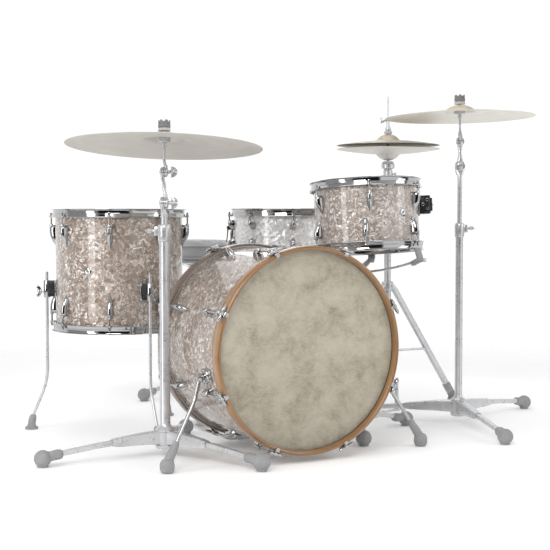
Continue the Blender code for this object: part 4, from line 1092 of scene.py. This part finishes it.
def make_hihat():
    hub = centre_of("hihat_tube")
    place_at = at(hub.x, hub.y, 0)
    joint_z, strut_z = 0.44, 0.213
    legs, feet, sleeves = [], [], []
    for angle, reach in ((-2, 0.285), (194, 0.285)):
        start, end = polar(angle, 0.0218, joint_z - 0.002), polar(angle, reach, 0.026)
        across = crosswise(angle)
        along = (end - start).normalized()
        lower = along.cross(across) * -0.01
        legs.append(blade([start - along * 0.006, start.lerp(end, 0.03), start.lerp(end, 0.86)], across,
            [0.017, 0.018, 0.018], [0.012, 0.0195, 0.0195], 0.4, 20))
        legs.append(blade([start.lerp(end, 0.1) + Vector((0, 0, 0.001)) + lower,
            start.lerp(end, 0.84) + lower], across, 0.006, 0.0016, 0.5))
        sleeves.append(blade(between(start, end, 0.855, 0.86, 0.87, 0.915, 0.935, 0.94), across,
            [0.018, 0.024, 0.0255, 0.025, 0.024, 0.021], [0.016, 0.0235, 0.0255, 0.025, 0.0235, 0.018], 0.6,
            20))
        feet.append(blade(between(start, end, 0.925, 0.935, 0.96, 0.99), across,
            [0.023, 0.028, 0.029, 0.026], [0.018, 0.0235, 0.0255, 0.024], 0.65, 20))
        feet += [foot_shapes(angle, reach)[0]]
        share = (start.z - strut_z) / (start.z - end.z)
        meet = start.lerp(end, share)
        near = polar(angle, 0.017, strut_z)
        legs.append(blade([near, near.lerp(meet, 0.5), meet], across, [0.013, 0.012, 0.013],
            [0.008, 0.0078, 0.008], 0.4))
        for spot in (near.lerp(meet, 0.06), meet):
            legs += rivets(spot, across, 0.0068, 0.003)
    legs.append(lathe(mm((4.5, 102), (11.5, 102), (12.5, 103), (12.5, 556), (14.2, 558), (15.8, 562),
        (16, 594), (14.5, 599), (10, 600), (10, 118), (4.5, 118)), 40))
    for z, outer, half in ((joint_z, 0.0215, 0.016), (strut_z, 0.0195, 0.012)):
        legs.append(lathe([(0.0115, z - half), (outer - 0.003, z - half), (outer, z - half + 0.003),
            (outer, z - 0.003), (outer - 0.0018, z - 0.0015), (outer - 0.0018, z + 0.0015),
            (outer, z + 0.003), (outer, z + half - 0.003), (outer - 0.003, z + half), (0.0115, z + half)],
            40))
    out = 0.0155
    legs.append(moved(joined(moved(slab(0.013, 0.013, 0.024, 0.004, 0.0015), at(out + 0.003, 0, 0.578)),
        moved(wing_screw(0.038, 0.012), at(out + 0.008, 0, 0.578))), turn("Z", VIEW_TURN + 60)))
    heel, heel_axis = joint_at("hihat_treadle")
    facing = aimed((0, 0, 0), (0, 0, 1), heel_axis)
    yoke = [moved(slab(0.1, 0.017, 0.011, 0.004, 0.002), at(0, 0, 0.104)),
        moved(slab(0.1, 0.03, 0.006, 0.004, 0.0015), at(0, 0, 0.0035)),
        moved(slab(0.1, 0.062, 0.008, 0.008, 0.002), at(0, 0.265, 0.0048))]
    for side in (-1, 1):
        yoke.append(blade([(side * 0.044, 0, 0.004), (side * 0.0445, 0, 0.05), (side * 0.042, 0, 0.104)],
            (1, 0, 0), 0.009, 0.014, 0.4))
        yoke.append(blade([(side * 0.045, 0.006, 0.0042), (side * 0.045, 0.245, 0.0042)], (1, 0, 0), 0.008,
            0.0044, 0.4))
    legs.append(moved(joined(*yoke), facing))
    piece("hihat_stand_frame", "root", STEEL, moved(joined(*legs), place_at), stands_for=("hihat_base",))
    piece("hihat_leg_sleeves", "root", RUBBER, moved(joined(*sleeves), place_at))
    piece("hihat_feet", "root", DARK_RUBBER, moved(joined(*feet), place_at))

    low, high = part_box("hihat_bottom_cymbal")
    low_edge = high.z
    _, top_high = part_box("hihat_top_cymbal")
    bow, bell, radius = 0.016, 0.022, (high.x - low.x) / 2
    high_edge = top_high.z - bow - bell
    seat = low_edge - bow - bell - 0.0015
    upper = joined(lathe(mm((4.5, 330), (9.2, 330), (9.5, 331.5))
        + mm((9.5, -60), (16.5, -56), (16.5, -34), (13, -31), (17, -27.5), (22.6, -26.2), (23.6, -25),
        (23.6, -12), (4.5, -12), z=seat), 40))
    tilt_screw = moved(joined(tube([(0.012, 0, seat - 0.046), (0.024, 0, seat - 0.046)], 0.003, 12),
        moved(dome(0.0062, 0.007, 20), turn("Y", 90), at(0.0235, 0, seat - 0.046))), turn("Z", VIEW_TURN))
    piece("hihat_upper_tube", "hihat_upper", STEEL, moved(joined(upper, tilt_screw), place_at),
        stands_for=("hihat_tube",))
    cushion = lathe(mm((4.5, -11.8), (20.5, -11.8), (21.2, -8.5), (19.5, -4), (13, -1.4), (4.5, -1.2),
        z=seat), 36)
    piece("hihat_seat_felt", "hihat_upper", FELT, moved(cushion, place_at))
    tone = (0.76, 0.74, 0.68)
    for which, edge, flip, body in (("bottom", low_edge, True, "hihat_upper"),
            ("top", high_edge, False, "hihat_pull")):
        shape = cymbal_shape(radius, bow, bell)
        spot = at(hub.x, hub.y, edge)
        look = material(f"hihat_{which}_bronze", bronze, spot, tone)
        piece(f"hihat_{which}_plate", body, (look, "bronze"),
            moved(mirrored(shape) if flip else shape, spot), stands_for=(f"hihat_{which}_cymbal",))
    top = high_edge + bow + bell
    rod_low, rod_high = (corner.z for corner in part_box("hihat_rod"))
    rod_shape = joined(lathe(mm((0, 0), (3, 0), z=rod_low) + mm((3, -1.5), (2.2, 0), (0, 0), z=rod_high),
        18), lathe(mm((3, -30), (5.6, -29), (5.6, 11.8), (10, 12), (10.4, 13), (10.4, 22.5), (9.4, 23.8),
        (6.2, 24.5), (6, 56), (5, 57.5), (3, 57.8), z=top), 36),
        moved(wing_screw(0.016, 0.006), turn("X", 90), at(0.004, 0, top + 0.048), turn("Z", 150)),
        lathe(mm((5.6, -26.5), (9.8, -26.5), (9.8, -19.5), (5.6, -19.5), z=top), 24, 0.05, 10))
    piece("hihat_pull_rod", "hihat_pull", STEEL, moved(rod_shape, place_at), stands_for=("hihat_rod",))
    clutch_felts = lathe(mm((5.6, 1.4), (13, 1.4), (14.2, 3.5), (14.2, 9.5), (13, 11.4), (5.6, 11.4),
        z=top), 36)
    piece("hihat_clutch_felt", "hihat_pull", FELT, moved(clutch_felts, place_at))
    board_at = aimed(heel, (0, 0, 1), heel_axis)
    piece("hihat_pedal_board", "hihat_pedal", STEEL, moved(board_shape(0.225, 0.07, 0.036), board_at),
        stands_for=("hihat_footboard",))
    piece("hihat_pedal_grip", "hihat_pedal", DARK_RUBBER, moved(board_grip(0.225, 0.07), board_at))


def board_shape(length, rise, half):
    """Footboard from its heel hinge at the origin, towards -Y and up."""
    slope = Vector((0, -length, rise)).normalized()
    up = Vector((0, rise, length)).normalized()
    run = math.hypot(length, rise)
    points = [slope * run * s for s in (0.02, 0.1, 0.35, 0.7, 0.93, 1.0)]
    plate = blade(points, (1, 0, 0),
        [half * 1.55, half * 2.0, half * 1.9, half * 1.72, half * 1.62, half * 1.2], 0.0052, 0.3)
    ribs = [blade([slope * run * 0.12 + up * 0.0028 + Vector((side * half * 0.86, 0, 0)),
        slope * run * 0.94 + up * 0.0028 + Vector((side * half * 0.72, 0, 0))], (1, 0, 0), 0.003, 0.003,
        0.5) for side in (-1, 1)]
    barrel = moved(lathe(mm((0, 1), (4.5, 1), (5, 3), z=-half) + mm((5, -3), (4.5, -1), (0, -1), z=half),
        20), turn("Y", 90))
    return joined(plate, *ribs, barrel)


def board_grip(length, rise):
    """Raised tread bars on a footboard."""
    slope = Vector((0, -length, rise)).normalized()
    up = Vector((0, rise, length)).normalized()
    run = math.hypot(length, rise)
    bars = []
    for k in range(9):
        middle = slope * run * (0.22 + 0.075 * k) + up * 0.0034
        bars.append(blade([middle - Vector((0.021, 0, 0)), middle - Vector((0.019, 0, 0)),
            middle + Vector((0.019, 0, 0)), middle + Vector((0.021, 0, 0))], slope,
            [0.003, 0.0062, 0.0062, 0.003], [0.002, 0.003, 0.003, 0.002], 0.6))
    return joined(*bars)


# ---- Throne and kick pedal ----------------------------------------

def bake(obj):
    """Put what the modifiers make in the place of the object's mesh."""
    depsgraph = bpy.context.evaluated_depsgraph_get()
    made = bpy.data.meshes.new_from_object(obj.evaluated_get(depsgraph))
    obj.modifiers.clear()
    obj.data = made


def swollen(name, radius, low, high, voxel=0.0055, cap=0.006):
    """Upholstered pad blown up from a rounded puck by cloth pressure; its floor stays flat."""
    puck = lathe([(0, low), (radius - 0.01, low), (radius - 0.003, low + 0.004), (radius, low + 0.012),
        (radius, high - 0.02), (radius - 0.005, high - 0.009), (radius - 0.016, high - 0.003), (0, high)],
        96)
    obj = object_of(name, puck)
    bpy.context.view_layer.objects.active = obj
    remesh = obj.modifiers.new("voxels", "REMESH")
    remesh.mode, remesh.voxel_size = "VOXEL", voxel
    bake(obj)
    start = [vertex.co.copy() for vertex in obj.data.vertices]
    group = obj.vertex_groups.new(name="held")
    group.add([k for k, co in enumerate(start) if co.z < low + 0.004], 1.0, "REPLACE")
    cloth = obj.modifiers.new("swell", "CLOTH")
    cloth.settings.quality = 5
    cloth.settings.use_pressure = True
    cloth.settings.uniform_pressure_force = 4
    cloth.settings.vertex_group_mass = "held"
    cloth.settings.effector_weights.gravity = 0
    cloth.collision_settings.use_collision = False
    scene = bpy.context.scene
    for step in range(1, 21):
        scene.frame_set(step)
    bake(obj)
    scene.frame_set(1)
    for vertex, co in zip(obj.data.vertices, start):
        step = vertex.co - co
        vertex.co = co + step * min(1.0, cap / max(step.length, 1e-9))
    smooth = obj.modifiers.new("smooth", "SMOOTH")
    smooth.iterations = 6
    fine = obj.modifiers.new("fine", "SUBSURF")
    fine.levels = fine.render_levels = 1
    bake(obj)
    obj.data.shade_smooth()
    return obj


def make_throne():
    post_at, _ = joint_at("throne_spin")
    make_base("throne", "throne_base", post_at, ((202, 0.265), (322, 0.265), (82, 0.265)), 0.016, 0.013,
        0.36)
    low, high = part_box("throne_seat")
    place_at = at(post_at.x, post_at.y, 0)
    post = joined(lathe(mm((0, 180), (12.2, 180), (12.5, 182))
        + mm((12.5, -30), (16.5, -28), (16.5, -12), (48, -8.5), (54.5, -6), (55, -3.5), (53.5, -2.5),
        (0, -2.5), z=low.z), 48), *[blade([polar(a, 0.018, low.z - 0.0165), polar(a, 0.05, low.z - 0.0085)],
        polar(a + 90, 1), 0.004, [0.012, 0.003], 0.5) for a in (45, 135, 225, 315)])
    piece("throne_post_tube", "throne_column", STEEL, moved(post, place_at), stands_for=("throne_post",))
    radius = (high.x - low.x) / 2
    seat = swollen("throne_cushion", radius - 0.0055, low.z + 0.01, high.z - 0.007)
    seat.data.transform(place_at)
    seat.data.materials.clear()
    seat.data.materials.append(VINYL[0])
    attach(seat, "throne_top")
    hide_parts("throne_seat")
    welt = []
    for z, r in ((high.z - 0.024, radius - 0.004), (low.z + 0.018, radius - 0.004)):
        welt.append(lathe([(r + 0.0028 * math.cos(a), z + 0.0028 * math.sin(a))
            for a in (math.pi * k / 4 for k in range(8))], 120))
    board = lathe([(0, low.z), (radius - 0.018, low.z), (radius - 0.014, low.z + 0.003),
        (radius - 0.014, low.z + 0.0105), (0, low.z + 0.0105)], 96)
    piece("throne_welts", "throne_top", VINYL, moved(joined(*welt), place_at))
    piece("throne_board", "throne_top", VINYL, moved(board, place_at))


def make_kick_pedal():
    shaft_at, _ = joint_at("kick_beater_throw")
    heel_at, _ = joint_at("kick_treadle_turn")
    x, y = shaft_at.x, shaft_at.y
    height = shaft_at.z
    heel_y = heel_at.y - y + 0.02
    frame_parts = []
    for side in (-1, 1):
        frame_parts.append(blade([(side * 0.042, 0, 0.002), (side * 0.0425, 0, 0.06),
            (side * 0.042, 0, height - 0.018), (side * 0.042, 0, height + 0.002)], (0, 1, 0),
            [0.024, 0.019, 0.019, 0.022], 0.0105, 0.4, 20))
        frame_parts.append(moved(lathe(
            mm((5.8, -5.6), (12.2, -5.6), (13.2, -4.5), (13.2, 4.5), (12.2, 5.6), (5.8, 5.6)), 28),
            turn("Y", 90), at(side * 0.042, 0, height)))
        frame_parts.append(blade([(side * 0.044, 0.01, 0.0045), (side * 0.044, heel_y - 0.02, 0.0045)],
            (1, 0, 0), 0.008, 0.005, 0.4))
    frame_parts += [moved(slab(0.096, 0.05, 0.006, 0.006, 0.0015), at(0, 0.004, 0.004)),
        moved(slab(0.096, 0.07, 0.008, 0.01, 0.002), at(0, heel_y + 0.01, 0.0058)),
        moved(slab(0.05, 0.019, 0.014, 0.004, 0.002), at(0, -0.022, 0.0078)),
        moved(wing_screw(0.03, 0.011), at(0.04, -0.01, 0.016))]
    spring = moved(coil(0.0075, 0.001, 0.06, height - 0.05, 16), at(0.058, 0.012, 0))
    hooks = [tube(eased([(0.058, 0.012, height - 0.052), (0.058, 0.012, height - 0.03),
        (0.0485, 0.004, height - 0.026)], 0.006), 0.0014, 8),
        tube(eased([(0.058, 0.012, 0.062), (0.058, 0.012, 0.05), (0.047, 0.002, 0.046)], 0.006), 0.0014, 8)]
    place_at = at(x, y, 0)
    piece("kick_frame", "root", STEEL, moved(joined(*frame_parts, spring, *hooks), place_at),
        stands_for=("kick_pedal_frame",))
    board_at = Matrix.Translation(heel_at)
    piece("kick_board", "kick_treadle", STEEL, moved(board_shape(0.205, 0.056, 0.035), board_at),
        stands_for=("kick_footboard",))
    piece("kick_board_grip", "kick_treadle", DARK_RUBBER, moved(board_grip(0.205, 0.056), board_at))
    beater_at = Matrix.Translation(shaft_at) @ turn("X", -42)
    metal = joined(moved(lathe(mm((0, -35.2), (5.4, -35.2), (5.6, -34), (5.6, 34), (5.4, 35.2), (0, 35.2)),
        6), turn("Y", 90)), moved(slab(0.018, 0.016, 0.022, 0.004, 0.002), at(0, 0, 0.004)),
        tube([(0, 0, 0), (0, 0, 0.176)], 0.0036, 16),
        moved(lathe(mm((5.6, -5.5), (17.5, -5.5), (19, -4), (17.5, 0), (19, 4), (17.5, 5.5), (5.6, 5.5)),
        32), turn("Y", 90), at(-0.017, 0, 0)))
    piece("kick_beater_shaft", "kick_beater", STEEL, moved(metal, beater_at))
    ball = lathe(mm((0, -28), (12, -28), (19, -26.2), (22.5, -21.5), (23, -15), (23, 10), (21.5, 15),
        (16.5, 18.8), (8, 20), (0, 20)), 36)
    piece("kick_beater_head", "kick_beater", FELT, moved(ball, turn("X", 90), at(0, 0, 0.19), beater_at),
        stands_for=("kick_beater",))


# ---- Stage ----------------------------------------

def make_stage():
    obj = object_of("floor", round_bar(5.5, -0.002, -0.0002, 96))
    obj.data.materials.append(material("floor_look", pale_floor))
    for name, spot, size, power in (("key", (-2.3, -2.9, 2.5), (1.6, 2.0), 58),
            ("fill", (2.6, -2.6, 1.9), (1.2, 1.8), 18), ("strip", (-3.3, -1.0, 1.2), (0.7, 2.2), 26),
            ("top", (-0.2, -0.2, 3.4), (2.6, 2.6), 38), ("rim", (1.6, 2.8, 2.4), (1.4, 1.4), 12)):
        light = bpy.data.lights.new(name, "AREA")
        light.shape, light.size, light.size_y, light.energy = "RECTANGLE", size[0], size[1], power
        lamp = linked(name, light)
        lamp.location = spot
        lamp.rotation_euler = (Vector((0, 0, 0.45)) - Vector(spot)).to_track_quat("-Z", "Y").to_euler()


def make_world():
    """White studio surround; what the metal mirrors also holds grey and dark panels."""
    world = bpy.data.worlds.new("studio")
    bpy.context.scene.world = world
    world.use_nodes = True
    tree = world.node_tree
    apart = node(tree, "SeparateXYZ", Vector=node(tree, "TexCoord").outputs["Generated"]).outputs
    around_z = math_of(tree, "ARCTAN2", apart[1], apart[0])
    share = spread(tree, around_z, -math.pi, math.pi, 0.0, 1.0)
    white, grey, dark = 1.0, 0.42, 0.015
    band = ramp(tree, share, (0.0, grey), (0.08, grey), (0.094, dark), (0.24, dark), (0.255, white),
        (0.382, white), (0.394, 0.07), (0.438, 0.07), (0.452, white), (0.895, white), (0.915, grey),
        (1.0, grey))
    height = spread(tree, math_of(tree, "ABSOLUTE", apart[2]), 0.46, 0.6, 0.0, 1.0)
    mixed = blended(tree, height, band, (0.5, 0.5, 0.51, 1))
    seen = node(tree, "LightPath").outputs["Is Camera Ray"]
    shown = blended(tree, seen, mixed, (1, 1, 1, 1))
    tree.links.new(shown, tree.nodes["Background"].inputs["Color"])
    tree.nodes["Background"].inputs["Strength"].default_value = WORLD_STRENGTH


def make_camera(focus):
    camera = bpy.data.cameras.new("camera")
    camera.lens, camera.sensor_width, camera.clip_end = LENS, 36, 60
    obj = linked("camera", camera)
    obj.location = (focus.x + EYE[0], focus.y + EYE[1], EYE[2])
    obj.rotation_euler = (math.radians(90 - EYE_DROP), 0, math.radians(EYE_TURN))
    bpy.context.scene.camera = obj


make_bass()
make_floor_tom()
make_rack_tom()
make_snare()
make_cymbal_stand("ride", ((179, 0.36), (-67, 0.355), (56, 0.355)), 0.0148, 0.0095, 0.642,
    (0.76, 0.725, 0.675), VIEW_TURN + 180)
make_cymbal_stand("crash", ((253, 0.407), (18, 0.405), (136, 0.405)), 0.0125, 0.008, 0.644,
    (0.88, 0.85, 0.785), VIEW_TURN)
make_drum_stand("tom_stand", ((7, 0.2284), (247, 0.2284), (127, 0.2284)), "tom_tilt", 0.033,
    "rack_tom_resonant_hoop", (VIEW_TURN - 38, VIEW_TURN + 82, VIEW_TURN + 202))
make_drum_stand("snare_stand", ((148, 0.24), (268, 0.24), (28, 0.24)), "snare_tilt", 0.038,
    "snare_resonant_hoop", (-30, 90, 210))
make_hihat()
make_throne()
make_kick_pedal()
make_stage()
make_world()
make_camera(centre_of("bass_shell"))
bpy.context.scene.view_settings.view_transform = "Standard"
